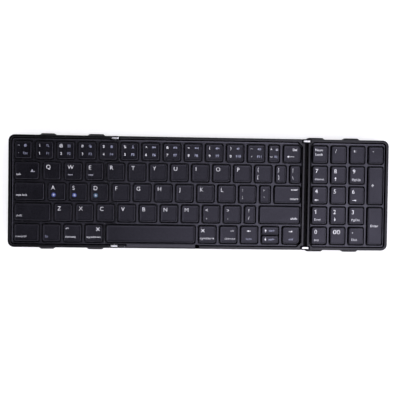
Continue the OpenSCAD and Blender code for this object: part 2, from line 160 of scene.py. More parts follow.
PAD_OPEN = [c for n in PAD_NODES for c in KEYS[n]]
MID_OPEN = [c for n in MID_NODES if n != "middle_bottom_keys" for c in KEYS[n]] + run(177.3, 4, MID_PITCH, 4) + [RIGHT_ARROW]


def part_x(i):
    return (FIRST_LEFT[i] + LEFT_PITCH * (COUNT_LEFT[i] - 1) + FIRST_MID[i]) / 2


# ------------------------------------------------------------------ plan outlines
# A polygon is a list of (x, y) in the frame, in mm, anticlockwise seen from above.
def ccw(poly):
    area = sum(a[0] * b[1] - b[0] * a[1] for a, b in zip(poly, poly[1:] + poly[:1]))
    return poly if area > 0 else poly[::-1]


def plan(points):
    return ccw([(fx(x), fy(y)) for x, y in points])


def inset(poly, d):
    """Every edge moved inwards by d, or by its own entry of d."""
    n = len(poly)
    ds = d if isinstance(d, (list, tuple)) else [d] * n
    lines = []
    for i in range(n):
        (x0, y0), (x1, y1) = poly[i], poly[(i + 1) % n]
        length = math.hypot(x1 - x0, y1 - y0)
        lines.append((x0 - (y1 - y0) / length * ds[i], y0 + (x1 - x0) / length * ds[i], x1 - x0, y1 - y0))
    out = []
    for i in range(n):
        a, b = lines[i - 1], lines[i]
        cross = a[2] * b[3] - a[3] * b[2]
        t = ((b[0] - a[0]) * b[3] - (b[1] - a[1]) * b[2]) / cross
        out.append((a[0] + a[2] * t, a[1] + a[3] * t))
    return out


def rounded(poly, radii, seg):
    """The corners of a polygon rounded, each with seg + 1 points."""
    n, out = len(poly), []
    for i in range(n):
        p, a, b = Vector(poly[i]), Vector(poly[i - 1]), Vector(poly[(i + 1) % n])
        u, v = (a - p).normalized(), (b - p).normalized()
        angle = u.angle(v)
        r = radii[i] if isinstance(radii, (list, tuple)) else radii
        r = min(r, 0.49 * min((a - p).length, (b - p).length) * math.tan(angle / 2))
        c = p + (u + v).normalized() * (r / math.sin(angle / 2))
        s, e = p + u * (r / math.tan(angle / 2)) - c, p + v * (r / math.tan(angle / 2)) - c
        a0, a1 = math.atan2(s.y, s.x), math.atan2(e.y, e.x)
        turn = (a1 - a0 + math.pi) % (2 * math.pi) - math.pi
        for k in range(seg + 1):
            w = a0 + turn * k / seg
            out.append((c.x + r * math.cos(w), c.y + r * math.sin(w)))
    return out


def cell_poly(c, d=0.0):
    """A key cell's outline, d inside its edges, with a cut corner where the cell has one."""
    x0, y0, x1, y1, cut = c
    x0, y0, x1, y1 = x0 + d, y0 + d, x1 - d, y1 - d
    leg = CORNER_CUT - d * (2 - math.sqrt(2))
    if cut == 1:
        return plan([(x0, y0), (x1 - leg, y0), (x1, y0 + leg), (x1, y1), (x0, y1)])
    if cut == -1:
        return plan([(x0, y0), (x1, y0), (x1, y1 - leg), (x1 - leg, y1), (x0, y1)])
    return plan([(x0, y0), (x1, y0), (x1, y1), (x0, y1)])


def zigzag(mid, gx, gy, y0, y1):
    """Points of the stepped edge from y0 at the back to y1 at the front, as (x, y) in plan. mid is True for the middle panel's side."""
    s = 1 if mid else -1
    rows = [(part_x(i) + s * gx, row_end(i)) for i in range(5)]
    x = rows[0][0]
    pts = [(x, y0)]
    for i in range(4):
        nxt = rows[i + 1][0]
        # the neighbour's tongue reaches gy past the row's end
        y = rows[i][1] + (-gy if (nxt > x) == mid else gy)
        pts += [(x, y), (nxt, y)]
        x = nxt
    return pts + [(x, y1)]


# ------------------------------------------------------------------ mesh building
class Solid:
    """Closed shells from rings of points."""

    def __init__(self):
        self.v, self.f = [], []

    def rings(self, rings, caps=(True, True)):
        base, n = len(self.v), len(rings[0])
        for r in rings:
            self.v.extend(r)
        for k in range(len(rings) - 1):
            a = base + k * n
            for i in range(n):
                j = (i + 1) % n
                self.f.append((a + i, a + j, a + n + j, a + n + i))
        if caps[0]:
            self.f.append(tuple(base + i for i in range(n - 1, -1, -1)))
        if caps[1]:
            t = base + (len(rings) - 1) * n
            self.f.append(tuple(t + i for i in range(n)))
        return self

    def prism(self, poly, z0, z1):
        return self.rings([[(x, y, z) for x, y in poly] for z in (z0, z1)])

    def add(self, verts, faces):
        base = len(self.v)
        self.v.extend(verts)
        self.f.extend(tuple(base + i for i in f) for f in faces)
        return self


def make(name, solid):
    me = bpy.data.meshes.new(name)
    me.from_pydata([(x * MM, y * MM, z * MM) for x, y, z in solid.v], [], solid.f)
    me.validate()
    ob = bpy.data.objects.new(name, me)
    scene.collection.objects.link(ob)
    return ob


def clean(ob, weld=2e-7):
    bm = bmesh.new()
    bm.from_mesh(ob.data)
    bmesh.ops.remove_doubles(bm, verts=bm.verts, dist=weld)
    bmesh.ops.dissolve_degenerate(bm, edges=bm.edges, dist=weld)
    loose = [v for v in bm.verts if not v.link_faces]
    bmesh.ops.delete(bm, geom=loose, context="VERTS")
    bm.to_mesh(ob.data)
    bm.free()
    return ob


def recalc(ob):
    bm = bmesh.new()
    bm.from_mesh(ob.data)
    bmesh.ops.remove_doubles(bm, verts=bm.verts, dist=1e-7)
    bmesh.ops.recalc_face_normals(bm, faces=bm.faces)
    bm.to_mesh(ob.data)
    bm.free()
    return ob


def boolean(ob, cutter, op="DIFFERENCE"):
    """Applies one exact boolean and removes the other object."""
    m = ob.modifiers.new("b", "BOOLEAN")
    m.operation, m.solver, m.object = op, "EXACT", cutter
    m.use_hole_tolerant = False
    bpy.context.view_layer.update()
    dg = bpy.context.evaluated_depsgraph_get()
    me = bpy.data.meshes.new_from_object(ob.evaluated_get(dg))
    old = ob.data
    ob.modifiers.clear()
    ob.data = me
    me.name = ob.name
    bpy.data.meshes.remove(old)
    data = cutter.data
    bpy.data.objects.remove(cutter)
    bpy.data.meshes.remove(data)
    return ob


def finish_mesh(ob, angle=32, weighted=True):
    me = ob.data
    me.polygons.foreach_set("use_smooth", [True] * len(me.polygons))
    me.set_sharp_from_angle(angle=math.radians(angle))
    if weighted:
        w = ob.modifiers.new("normals", "WEIGHTED_NORMAL")
        w.keep_sharp, w.weight, w.mode = True, 100, "FACE_AREA"
    return ob


def put_in_second_slot(ob, inside):
    """Puts the faces for which inside(centre, normal) is true, in mm, in the second material slot."""
    for f in ob.data.polygons:
        f.material_index = 1 if inside(f.center / MM, f.normal) else 0
    return ob


def place(ob, body, mat, nodes=()):
    index = [f.material_index for f in ob.data.polygons]
    ob.data.materials.clear()
    for m in mat if isinstance(mat, (list, tuple)) else [mat]:
        ob.data.materials.append(m)
    ob.data.polygons.foreach_set("material_index", [min(i, len(ob.data.materials) - 1) for i in index])
    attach(ob, body)
    if nodes:
        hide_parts(*nodes)
    return ob


def flared(solid, poly, radii, seg, z0, z1, chamfer, over=0.6, low=None):
    """A cutter through poly up to the surface z1, with a chamfer round its mouth, and the same at a lower mouth if low is set."""
    levels = []
    if low is not None:
        levels += [(low - over, chamfer + over), (low + chamfer, 0.0)]
    else:
        levels += [(z0, 0.0)]
    levels += [(z1 - chamfer, 0.0), (z1 + over, chamfer + over)]
    ringset = []
    for z, grow in levels:
        r = [x + grow for x in radii] if isinstance(radii, (list, tuple)) else radii + grow
        ringset.append([(x, y, z) for x, y in rounded(inset(poly, -grow), r, seg)])
    solid.rings(ringset)
    return solid


def lathe_y(solid, cx, cz, profile, seg=40):
    """A turned shape about the axis along Y through (cx, cz). profile is (y, r) from back to front in plan y."""
    ringset = []
    for y, r in profile:
        ringset.append([(cx + r * math.cos(2 * math.pi * k / seg), fy(y), cz + r * math.sin(2 * math.pi * k / seg))
                        for k in range(seg)])
    solid.rings(ringset)
    return solid


def lathe_z(solid, cx, cy, profile, seg=40):
    """A turned shape about a vertical axis through frame (cx, cy). profile is (z, r), rising, first and last r over 0."""
    ringset = [[(cx + r * math.cos(2 * math.pi * k / seg), cy + r * math.sin(2 * math.pi * k / seg), z)
                for k in range(seg)] for z, r in profile]
    solid.rings(ringset)
    return solid


def plate_y(solid, outline, y0, y1, bevel):
    """A plate whose outline lies in X and Z, anticlockwise seen from the front, from plan y0 to y1 with bevelled edges."""
    steps = [(y1, bevel), (y1 - 0.3 * bevel, 0.3 * bevel), (y1 - bevel, 0.0),
             (y0 + bevel, 0.0), (y0 + 0.3 * bevel, 0.3 * bevel), (y0, bevel)]
    ringset = []
    for y, d in steps:
        # rings() wants the outline anticlockwise seen from the end it grows towards
        pts = outline(d)
        ringset.append([(x, fy(y), z) for x, z in pts])
    solid.rings(ringset)
    return solid


# ------------------------------------------------------------------ materials
def nodes_of(name):
    m = bpy.data.materials.new(name)
    m.use_nodes = True
    t = m.node_tree
    t.nodes.clear()
    out = t.nodes.new("ShaderNodeOutputMaterial")
    b = t.nodes.new("ShaderNodeBsdfPrincipled")
    t.links.new(b.outputs["BSDF"], out.inputs["Surface"])
    return m, t, b


def noise(t, scale, detail=2.0, rough=0.5, vector=None, kind="ShaderNodeTexNoise"):
    n = t.nodes.new(kind)
    n.inputs["Scale"].default_value = scale
    if kind == "ShaderNodeTexNoise":
        n.inputs["Detail"].default_value = detail
        n.inputs["Roughness"].default_value = rough
    t.links.new(vector if vector is not None else coords(t), n.inputs["Vector"])
    return n


def coords(t):
    for n in t.nodes:
        if n.type == "TEX_COORD":
            return n.outputs["Object"]
    return t.nodes.new("ShaderNodeTexCoord").outputs["Object"]


def ranged(t, value, a, b, lo, hi):
    n = t.nodes.new("ShaderNodeMapRange")
    for k, x in (("From Min", a), ("From Max", b), ("To Min", lo), ("To Max", hi)):
        n.inputs[k].default_value = x
    t.links.new(value, n.inputs["Value"])
    return n.outputs["Result"]


def math_node(t, op, a, b):
    n = t.nodes.new("ShaderNodeMath")
    n.operation = op
    for k, x in enumerate((a, b)):
        if isinstance(x, (int, float)):
            n.inputs[k].default_value = x
        else:
            t.links.new(x, n.inputs[k])
    return n.outputs[0]


def mixed(t, factor, a, b):
    """A colour between a and b."""
    n = t.nodes.new("ShaderNodeMix")
    n.data_type = "RGBA"
    t.links.new(factor, n.inputs["Factor"])
    for k, x in (("A", a), ("B", b)):
        socket = [s for s in n.inputs if s.name == k and s.type == "RGBA"][0]
        if isinstance(x, (tuple, list)):
            socket.default_value = (*x, 1.0)
        else:
            t.links.new(x, socket)
    return [s for s in n.outputs if s.type == "RGBA"][0]


def edge_mask(t, radius, lo=0.004, hi=0.12):
    """1 on sharp and rounded edges, 0 on flats."""
    bevel = t.nodes.new("ShaderNodeBevel")
    bevel.samples = 4
    bevel.inputs["Radius"].default_value = radius
    geo = t.nodes.new("ShaderNodeNewGeometry")
    dot = t.nodes.new("ShaderNodeVectorMath")
    dot.operation = "DOT_PRODUCT"
    t.links.new(bevel.outputs["Normal"], dot.inputs[0])
    t.links.new(geo.outputs["Normal"], dot.inputs[1])
    off = math_node(t, "SUBTRACT", 1.0, dot.outputs["Value"])
    return ranged(t, off, lo, hi, 0.0, 1.0)


def moulded(name, base, light, rough, grain=5200, height=0.000012, strength=0.35, edge=0.0, radius=0.0004,
            specular=0.5, dust=0.0, tint=(0.93, 0.91, 1.0)):
    """Moulded plastic: fine spark-eroded grain, soft blotches in colour and gloss, polished edges and a trace of dust."""
    m, t, b = nodes_of(name)
    cloud = noise(t, 38.0, 3.0, 0.55)
    speck = noise(t, grain, 2.0, 0.6)
    cells = noise(t, grain * 0.42, kind="ShaderNodeTexVoronoi")
    tone = ranged(t, cloud.outputs["Fac"], 0.3, 0.7, 0.0, 1.0)
    colour = mixed(t, tone, base, light)
    fine = ranged(t, speck.outputs["Fac"], 0.35, 0.75, 0.0, 0.35)
    colour = mixed(t, fine, colour, tuple(min(1.0, x * 1.9) for x in light))
    rough_out = ranged(t, cloud.outputs["Fac"], 0.3, 0.7, rough - 0.035, rough + 0.035)
    rough_out = math_node(t, "ADD", rough_out, ranged(t, speck.outputs["Fac"], 0.3, 0.7, -0.05, 0.05))
    if edge > 0:
        worn = noise(t, 420.0, 4.0, 0.7)
        mask = math_node(t, "MULTIPLY", edge_mask(t, radius), ranged(t, worn.outputs["Fac"], 0.35, 0.65, 0.35, 1.0))
        colour = mixed(t, math_node(t, "MULTIPLY", mask, edge), colour, tuple(min(1.0, x * 3.2 + 0.01) for x in light))
        rough_out = math_node(t, "SUBTRACT", rough_out, math_node(t, "MULTIPLY", mask, 0.12))
    if dust > 0:
        motes = noise(t, 900.0, 5.0, 0.75)
        spots = ranged(t, motes.outputs["Fac"], 0.66, 0.74, 0.0, dust)
        colour = mixed(t, spots, colour, (0.20, 0.20, 0.21))
    t.links.new(colour, b.inputs["Base Color"])
    t.links.new(rough_out, b.inputs["Roughness"])
    b.inputs["Specular IOR Level"].default_value = specular
    b.inputs["Specular Tint"].default_value = (*tint, 1.0)
    bump = t.nodes.new("ShaderNodeBump")
    bump.inputs["Strength"].default_value = strength
    bump.inputs["Distance"].default_value = height
    t.links.new(math_node(t, "ADD", speck.outputs["Fac"], cells.outputs["Distance"]), bump.inputs["Height"])
    t.links.new(bump.outputs["Normal"], b.inputs["Normal"])
    return m


def metal(name, colour, rough, brushed=None, height=0.000004):
    """Metal with fine directional brushing and small changes in gloss."""
    m, t, b = nodes_of(name)
    mapping = t.nodes.new("ShaderNodeMapping")
    mapping.inputs["Scale"].default_value = brushed or (1.0, 1.0, 1.0)
    t.links.new(coords(t), mapping.inputs["Vector"])
    lines = noise(t, 2600.0, 3.0, 0.6, mapping.outputs["Vector"])
    cloud = noise(t, 160.0, 3.0, 0.5)
    shade = ranged(t, cloud.outputs["Fac"], 0.3, 0.7, 0.0, 1.0)
    t.links.new(mixed(t, shade, colour, tuple(x * 0.86 for x in colour)), b.inputs["Base Color"])
    b.inputs["Metallic"].default_value = 1.0
    t.links.new(math_node(t, "ADD", ranged(t, lines.outputs["Fac"], 0.3, 0.7, -0.06, 0.06),
                          ranged(t, cloud.outputs["Fac"], 0.3, 0.7, rough - 0.03, rough + 0.03)), b.inputs["Roughness"])
    bump = t.nodes.new("ShaderNodeBump")
    bump.inputs["Strength"].default_value = 0.4
    bump.inputs["Distance"].default_value = height
    t.links.new(lines.outputs["Fac"], bump.inputs["Height"])
    t.links.new(bump.outputs["Normal"], b.inputs["Normal"])
    return m


def printed(name, colour, thin, rough=0.55):
    """Pad-printed ink: slightly uneven in cover, with thinner patches where the plastic below shows through."""
    m, t, b = nodes_of(name)
    cover = noise(t, 3400.0, 3.0, 0.6)
    t.links.new(mixed(t, ranged(t, cover.outputs["Fac"], 0.35, 0.8, 0.0, 0.55), colour, thin), b.inputs["Base Color"])
    t.links.new(ranged(t, cover.outputs["Fac"], 0.3, 0.7, rough - 0.06, rough + 0.06), b.inputs["Roughness"])
    bump = t.nodes.new("ShaderNodeBump")
    bump.inputs["Strength"].default_value = 0.3
    bump.inputs["Distance"].default_value = 0.000005
    t.links.new(cover.outputs["Fac"], bump.inputs["Height"])
    t.links.new(bump.outputs["Normal"], b.inputs["Normal"])
    return m


def taped_port():
    """Tinned port shell, wrapped in black film everywhere but at its mouth."""
    m = metal("port_steel", (0.66, 0.67, 0.70), 0.28)
    t = m.node_tree
    b = [n for n in t.nodes if n.type == "BSDF_PRINCIPLED"][0]
    sep = t.nodes.new("ShaderNodeSeparateXYZ")
    t.links.new(coords(t), sep.inputs[0])
    film = ranged(t, sep.outputs[1], 0.0462, 0.0464, 1.0, 0.0)
    shell = b.inputs["Base Color"].links[0].from_socket
    gloss = b.inputs["Roughness"].links[0].from_socket
    t.links.new(mixed(t, film, shell, (0.004, 0.0038, 0.004)), b.inputs["Base Color"])
    t.links.new(math_node(t, "SUBTRACT", 1.0, film), b.inputs["Metallic"])
    t.links.new(math_node(t, "MAXIMUM", gloss, math_node(t, "MULTIPLY", film, 0.6)), b.inputs["Roughness"])
    return m


MAT = {
    "key": moulded("key_plastic", (0.0022, 0.0021, 0.0029), (0.0032, 0.0031, 0.0042), 0.265, height=0.000003, edge=0.15, radius=0.00045, dust=0.04, specular=0.39, tint=(0.84, 0.81, 1.0)),
    "deck": moulded("deck_plastic", (0.0058, 0.0056, 0.0073), (0.0081, 0.0078, 0.0101), 0.285, grain=3600, height=0.000004, strength=0.4, edge=0.2, radius=0.0003, dust=0.05, specular=0.65, tint=(0.86, 0.835, 1.0)),
    "case": moulded("case_plastic", (0.0017, 0.0016, 0.0022), (0.0026, 0.0024, 0.0033), 0.27, grain=3000, height=0.000004, strength=0.4, edge=0.12, radius=0.0005, dust=0.04, specular=0.43),
    # the left case and left deck are darker, less glossy copies of the case and deck plastic, painted shade for the
    # dimmer light on the left; the right case is a less glossy copy, also painted shade
    "case_l": moulded("left_case_plastic_painted_shade", (0.0011, 0.00105, 0.0014), (0.0017, 0.0016, 0.0022), 0.27, grain=3000, height=0.000004, strength=0.4, edge=0.10, radius=0.0005, dust=0.03, specular=0.26),
    "case_r": moulded("right_case_plastic_painted_shade", (0.0017, 0.0016, 0.0022), (0.0026, 0.0024, 0.0033), 0.27, grain=3000, height=0.000004, strength=0.4, edge=0.12, radius=0.0005, dust=0.04, specular=0.36),
    "deck_l": moulded("left_deck_plastic_painted_shade", (0.0042, 0.0041, 0.0053), (0.0060, 0.0058, 0.0076), 0.285, grain=3600, height=0.000004, strength=0.4, edge=0.16, radius=0.0003, dust=0.04, specular=0.54, tint=(0.86, 0.835, 1.0)),
    "cover": moulded("hinge_cover_plastic", (0.0022, 0.0021, 0.0024), (0.0034, 0.0033, 0.0038), 0.45, grain=6000, edge=0.12, radius=0.0003, specular=0.2),
    # near-black, matte and without any reflection: painted shade for the walls of recesses, grooves and notches
    "seam": moulded("recess_painted_shade_plastic", (0.0011, 0.0010, 0.0013), (0.0016, 0.0015, 0.0019), 0.85, grain=3000, height=0.000004, strength=0.3, specular=0.0),
    "rubber": moulded("foot_rubber", (0.007, 0.007, 0.0075), (0.011, 0.011, 0.0115), 0.82, grain=2400, height=0.00003, strength=0.7, specular=0.35, dust=0.25),
    "spine": moulded("spine_plastic", (0.0014, 0.0014, 0.0016), (0.0022, 0.0022, 0.0025), 0.5, grain=5000, specular=0.12),
    "window": moulded("strip_plastic", (0.021, 0.0205, 0.0245), (0.0265, 0.026, 0.0315), 0.38, grain=7000, height=0.000006, strength=0.2, edge=0.4, radius=0.0003, dust=0.08),
    "chrome": metal("link_steel", (0.87, 0.87, 0.89), 0.33, (6.0, 0.5, 6.0)),
    "pin": metal("pin_steel", (0.55, 0.56, 0.58), 0.3, (1.0, 8.0, 1.0)),
    "screw": metal("screw_steel", (0.10, 0.10, 0.11), 0.38),
    "plate": metal("plate_steel", (0.06, 0.062, 0.066), 0.5, (1.0, 10.0, 1.0)),
    "port": taped_port(),
    "membrane": moulded("membrane_film", (0.004, 0.004, 0.005), (0.007, 0.007, 0.008), 0.45, grain=1500, specular=0.3),
    "silicone": moulded("dome_silicone", (0.05, 0.05, 0.055), (0.07, 0.07, 0.075), 0.55, grain=1800),
    "scissor": moulded("scissor_plastic", (0.018, 0.018, 0.02), (0.026, 0.026, 0.03), 0.45, grain=2400),
    "board": moulded("board_mask", (0.012, 0.07, 0.03), (0.018, 0.10, 0.045), 0.4, grain=1200),
    "cell": moulded("battery_foil", (0.30, 0.31, 0.33), (0.38, 0.39, 0.41), 0.35, grain=500, height=0.00008, strength=0.6),
    "flex": moulded("flex_film", (0.010, 0.009, 0.0085), (0.017, 0.0155, 0.015), 0.42, grain=900, height=0.00001, specular=0.3),
    "ink": printed("white_ink", (0.92, 0.92, 0.94), (0.66, 0.66, 0.69)),
    "soft_ink": printed("soft_ink", (0.76, 0.76, 0.79), (0.54, 0.54, 0.57)),
    "grey_ink": printed("grey_ink", (0.40, 0.40, 0.45), (0.24, 0.24, 0.29)),
    "blue_ink": printed("blue_ink", (0.375, 0.39, 0.51), (0.25, 0.26, 0.35)),
    # a darker copy of the blue print, painted shade for the left panel
    "dim_ink": printed("dim_ink", (0.21, 0.22, 0.30), (0.13, 0.135, 0.20)),
    "dot_ink": printed("dot_ink", (0.060, 0.085, 0.29), (0.035, 0.05, 0.18)),
    "teal_ink": printed("teal_ink", (0.05, 0.115, 0.18), (0.03, 0.065, 0.11)),
    "pale_ink": printed("pale_ink", (0.42, 0.45, 0.55), (0.29, 0.31, 0.40)),
}


def led_material():
    """Clear light pipe over an unlit lamp."""
    m, t, b = nodes_of("led_lens")
    cloud = noise(t, 2500.0, 2.0, 0.5)
    t.links.new(mixed(t, ranged(t, cloud.outputs["Fac"], 0.3, 0.7, 0.0, 1.0), (0.42, 0.44, 0.48), (0.30, 0.32, 0.37)), b.inputs["Base Color"])
    t.links.new(ranged(t, cloud.outputs["Fac"], 0.3, 0.7, 0.12, 0.22), b.inputs["Roughness"])
    b.inputs["Coat Weight"].default_value = 0.6
    b.inputs["Coat Roughness"].default_value = 0.08
    return m


MAT["led"] = led_material()

# ------------------------------------------------------------------ key caps
FLAT_Z = KEY_TOP - 0.06


def cap_rings(c):
    g = KEY_GAP / 2
    n = len(cell_poly(c))
    base = cell_poly(c, g)
    small = [0] * n
    if c[4]:
        # the two ends of the cut corner are sharper
        for i in range(n):
            a, p, b = base[i - 1], base[i], base[(i + 1) % n]
            u, v = Vector(a) - Vector(p), Vector(b) - Vector(p)
            small[i] = abs(u.angle(v) - math.pi / 2) > 0.2

    def ring(d, z, r0=1.6):
        radii = [max((0.7 if s else r0) - d * 0.8, 0.18) for s in small]
        poly = cell_poly(c, g + d)
        return [(x, y, z) for x, y in rounded(poly, radii, 7)]

    rings = [ring(0.95, KEY_LOW + 1.0), ring(0.9, KEY_LOW + 0.9), ring(0.85, KEY_LOW), ring(0.06, KEY_LOW), ring(0.0, KEY_LOW + 0.08),
             ring(0.10, KEY_TOP - 0.52)]
    for k in range(1, 6):
        a = math.radians(18 * k)
        rings.append(ring(0.10 + 0.5 * (1 - math.cos(a)), KEY_TOP - 0.5 + 0.5 * math.sin(a)))
    rings += [ring(0.85, KEY_TOP - 0.012), ring(1.15, KEY_TOP - 0.042), ring(1.45, FLAT_Z), ring(2.3, FLAT_Z)]
    return rings


def homing_bar(solid, x, y):
    """Raised bar near the front of a home key."""
    poly = plan([(x - 1.6, y - 0.28), (x + 1.6, y - 0.28), (x + 1.6, y + 0.28), (x - 1.6, y + 0.28)])
    solid.rings([[(px, py, z) for px, py in rounded(inset(poly, d), 0.26 - d * 0.9, 5)]
                 for z, d in ((FLAT_Z - 0.05, 0.0), (FLAT_Z - 0.002, 0.0), (FLAT_Z + 0.045, 0.06), (FLAT_Z + 0.058, 0.16))])


HOME_BARS = {"middle_home_keys": [(99.5, row_y(2) + 5.1), (99.5 + 3 * MID_PITCH, row_y(2) + 5.1)],
             "pad_456_keys": [(PAD_X + PAD_PITCH, row_y(2) + 5.1)]}

for node, cells in KEYS.items():
    s = Solid()
    for c in cells:
        s.rings(cap_rings(c))
    for x, y in HOME_BARS.get(node, []):
        homing_bar(s, x, y)
    ob = make(node.replace("_keys", "").replace("_key", "") + "_caps", s)
    finish_mesh(ob, 40)
    place(ob, node, MAT["key"], [node])

# ------------------------------------------------------------------ under the keys
BODY_OF = {n: "left_panel" if n in LEFT_NODES else "right_panel" if n in PAD_NODES else "middle_panel" for n in KEYS}


def room(c):
    """Length and width of the scissor frames under a cap, and the width of their bars."""
    a, b = min(11, c[2] - c[0] - KEY_GAP - 2.1), min(10, c[3] - c[1] - KEY_GAP - 2)
    return a, b, 0.6 if min(a, b) < 8 else 0.9


def dome(solid, c):
    """A silicone dome: flange, thin flared wall and a plunger, hollow from below."""
    a, b, t = room(c)
    r = min(2.7, min(a, b) / 2 - 2 * t - 0.25)
    cx, cy = fx((c[0] + c[2]) / 2), fy((c[1] + c[3]) / 2)
    profile = [(3.1, 0.2 * r), (3.0, 0.6 * r - 0.34), (2.6, 0.68 * r - 0.3), (1.4, 0.82 * r - 0.3), (0.3, 0.93 * r - 0.3), (0.0, 0.95 * r - 0.3),
               (0.0, 0.985 * r), (0.12, 0.985 * r), (0.2, 0.95 * r), (0.34, 0.92 * r), (1.4, 0.82 * r), (2.5, 0.66 * r), (2.8, 0.57 * r),
               (3.0, 0.55 * r), (3.2, 0.58 * r), (3.7, 0.58 * r), (3.84, 0.54 * r), (3.9, 0.44 * r)]
    lathe_z(solid, cx, cy, [(FILM_Z + z, q) for z, q in profile], 20)


def frame_ring(solid, l, w, t, angle, at, turned):
    """One frame of a scissor pair, tilted about its middle."""
    co, si = math.cos(angle), math.sin(angle)
    base = len(solid.v)
    loops = []
    for z, grow in ((-0.3, -0.07), (-0.23, 0.0), (0.23, 0.0), (0.3, -0.07)):
        poly = [(-l / 2, -w / 2), (l / 2, -w / 2), (l / 2, w / 2), (-l / 2, w / 2)]
        loops.append((z, rounded(inset(poly, -grow), 0.7, 4)))
    for z, grow in ((0.3, 0.07), (0.23, 0.0), (-0.23, 0.0), (-0.3, 0.07)):
        poly = [(-l / 2 + t, -w / 2 + t), (l / 2 - t, -w / 2 + t), (l / 2 - t, w / 2 - t), (-l / 2 + t, w / 2 - t)]
        loops.append((z, rounded(inset(poly, -grow), 0.3, 4)))
    m = len(loops[0][1])
    for z, pts in loops:
        for x, y in pts:
            X, Z = x * co + z * si, z * co - x * si
            X, Y = (-y, X) if turned else (X, y)
            solid.v.append((at[0] + X, at[1] + Y, at[2] + Z))
    n = len(loops)
    for k in range(n):
        a, b = base + k * m, base + (k + 1) % n * m
        for i in range(m):
            j = (i + 1) % m
            solid.f.append((a + i, a + j, b + j, b + i))


def scissor_pair(solid, c):
    a, b, t = room(c)
    l, w = max(a, b), min(a, b)
    at = (fx((c[0] + c[2]) / 2), fy((c[1] + c[3]) / 2), 6.8)
    tilt = math.asin(3 / l)
    frame_ring(solid, l, w, t, tilt, at, a < b)
    frame_ring(solid, l, w - 2 * t - 0.2, t, -tilt, at, a < b)
    for s in (-1, 1):
        # the pivot through both bars
        ringset = []
        for q, r in ((-0.45, 0.14), (-0.4, 0.19), (0.3, 0.19), (0.35, 0.14)):
            y = s * (w / 2 - t - 0.05 + q)
            ringset.append([(at[0] + (-y if a < b else r * math.cos(math.pi * k / 5)), at[1] + (r * math.cos(math.pi * k / 5) if a < b else y),
                             at[2] + r * math.sin(math.pi * k / 5)) for k in range(10)])
        solid.rings(ringset)


for node, cells in KEYS.items():
    short = node.replace("_keys", "").replace("_key", "")
    side = BODY_OF[node].replace("_panel", "")
    for kind, build, mat, old in (("domes", dome, "silicone", "_domes"), ("scissor_frames", scissor_pair, "scissor", "_scissors")):
        s = Solid()
        for c in cells:
            build(s, c)
        ob = recalc(make(short + "_" + kind, s))
        finish_mesh(ob, 40, weighted=False)
        place(ob, BODY_OF[node], MAT[mat], [side + old])
        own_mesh(ob)

# ------------------------------------------------------------------ decks


def deck_posts(solid, at):
    """Hollow screw posts under the deck."""
    for x, y in at:
        cx, cy = fx(x), fy(y)
        seg = 24

        def ring(r, z):
            return [(cx + r * math.cos(2 * math.pi * k / seg), cy + max(-0.68, min(0.68, r * math.sin(2 * math.pi * k / seg))), z) for k in range(seg)]

        solid.rings([ring(0.6, 7.1), ring(0.6, 5.05), ring(0.7, 5.0), ring(1.2, 5.0), ring(1.3, 5.1), ring(1.3, 7.45)])


def corner_radii(outline, at, r, other):
    """r at outline corners that lie near one of at, other elsewhere."""
    return [r if any(abs(p[0] - fx(a[0])) < 0.6 and abs(p[1] - fy(a[1])) < 0.6 for a in at) else other for p in outline]


def box_cut(solid, x0, y0, z0, x1, y1, z1, r=0.3):
    poly = plan([(x0, y0), (x1, y0), (x1, y1), (x0, y1)])
    solid.rings([[(x, y, z) for x, y in rounded(poly, r, 3)] for z in (z0, z1)])


def deck_lip(ob, side, outline):
    """Raises the deck a little along the rim, falling to nothing at the keys."""
    if side == "r":
        loop, radii = outline, [0.5] * len(outline)
        radii = corner_radii(outline, [(TOTAL - D, D), (TOTAL - D, DEPTH - D)], CORNER_R - D, 0.5)
    elif side == "l":
        loop = plan([(D, D), (125, D), (125, DEPTH - D), (D, DEPTH - D)])
        radii = corner_radii(loop, [(D, D), (D, DEPTH - D)], CORNER_R - D, 0.5)
    else:
        loop = plan([(70, D), (RD - 4, D), (RD, D + 4), (RD, DEPTH - D - 4), (RD - 4, DEPTH - D), (70, DEPTH - D)])
        radii = [0.4] * len(loop)
    s = Solid()
    levels = [rounded(inset(loop, d), [max(r - d, 0.15) for r in radii], 6) for d in (0.24, 0.28, 0.33, 0.42, 0.8, 1.2, 1.2)]
    heights = (-0.2, 0.05, 0.12, 0.14, 0.07, 0.0, -0.2)
    share = []
    for p, q in zip(levels[0], levels[-1]):
        n = (Vector(p) - Vector(q)).normalized()
        share.append(max(n.y, 0) ** 2 + max(-n.x, 0) ** 2 + 0.3 * max(n.x, 0) ** 2)
    for h, pts in zip(heights, levels):
        s.v.extend([(x, y, DECK_Z + (h if h < 0 else -0.02 + w * (h + 0.02))) for (x, y), w in zip(pts, share)])
    m = 7 * len(loop)
    for k in range(7):
        for i in range(m):
            j = (i + 1) % m
            a, b = k * m, (k + 1) % 7 * m
            s.f.append((a + i, a + j, b + j, b + i))
    lip = recalc(make("lip", s))
    if side != "r":
        region = Solid()
        region.prism(rounded(inset(outline, 0.1), 0.2, 3), DECK_Z - 1, DECK_Z + 1)
        cut = Solid()
        for f in (LEFT_FOLD, RIGHT_FOLD):
            for y0, y1 in ((-5, 5.2), (DEPTH - 5.2, DEPTH + 5)):
                box_cut(cut, f - 5.2, y0, DECK_Z - 2, f + 5.2, y1, DECK_Z + 2, 0.2)
        boolean(lip, make("region", region), "INTERSECT")
        boolean(lip, make("cutter", cut))
    return boolean(ob, lip, "UNION")


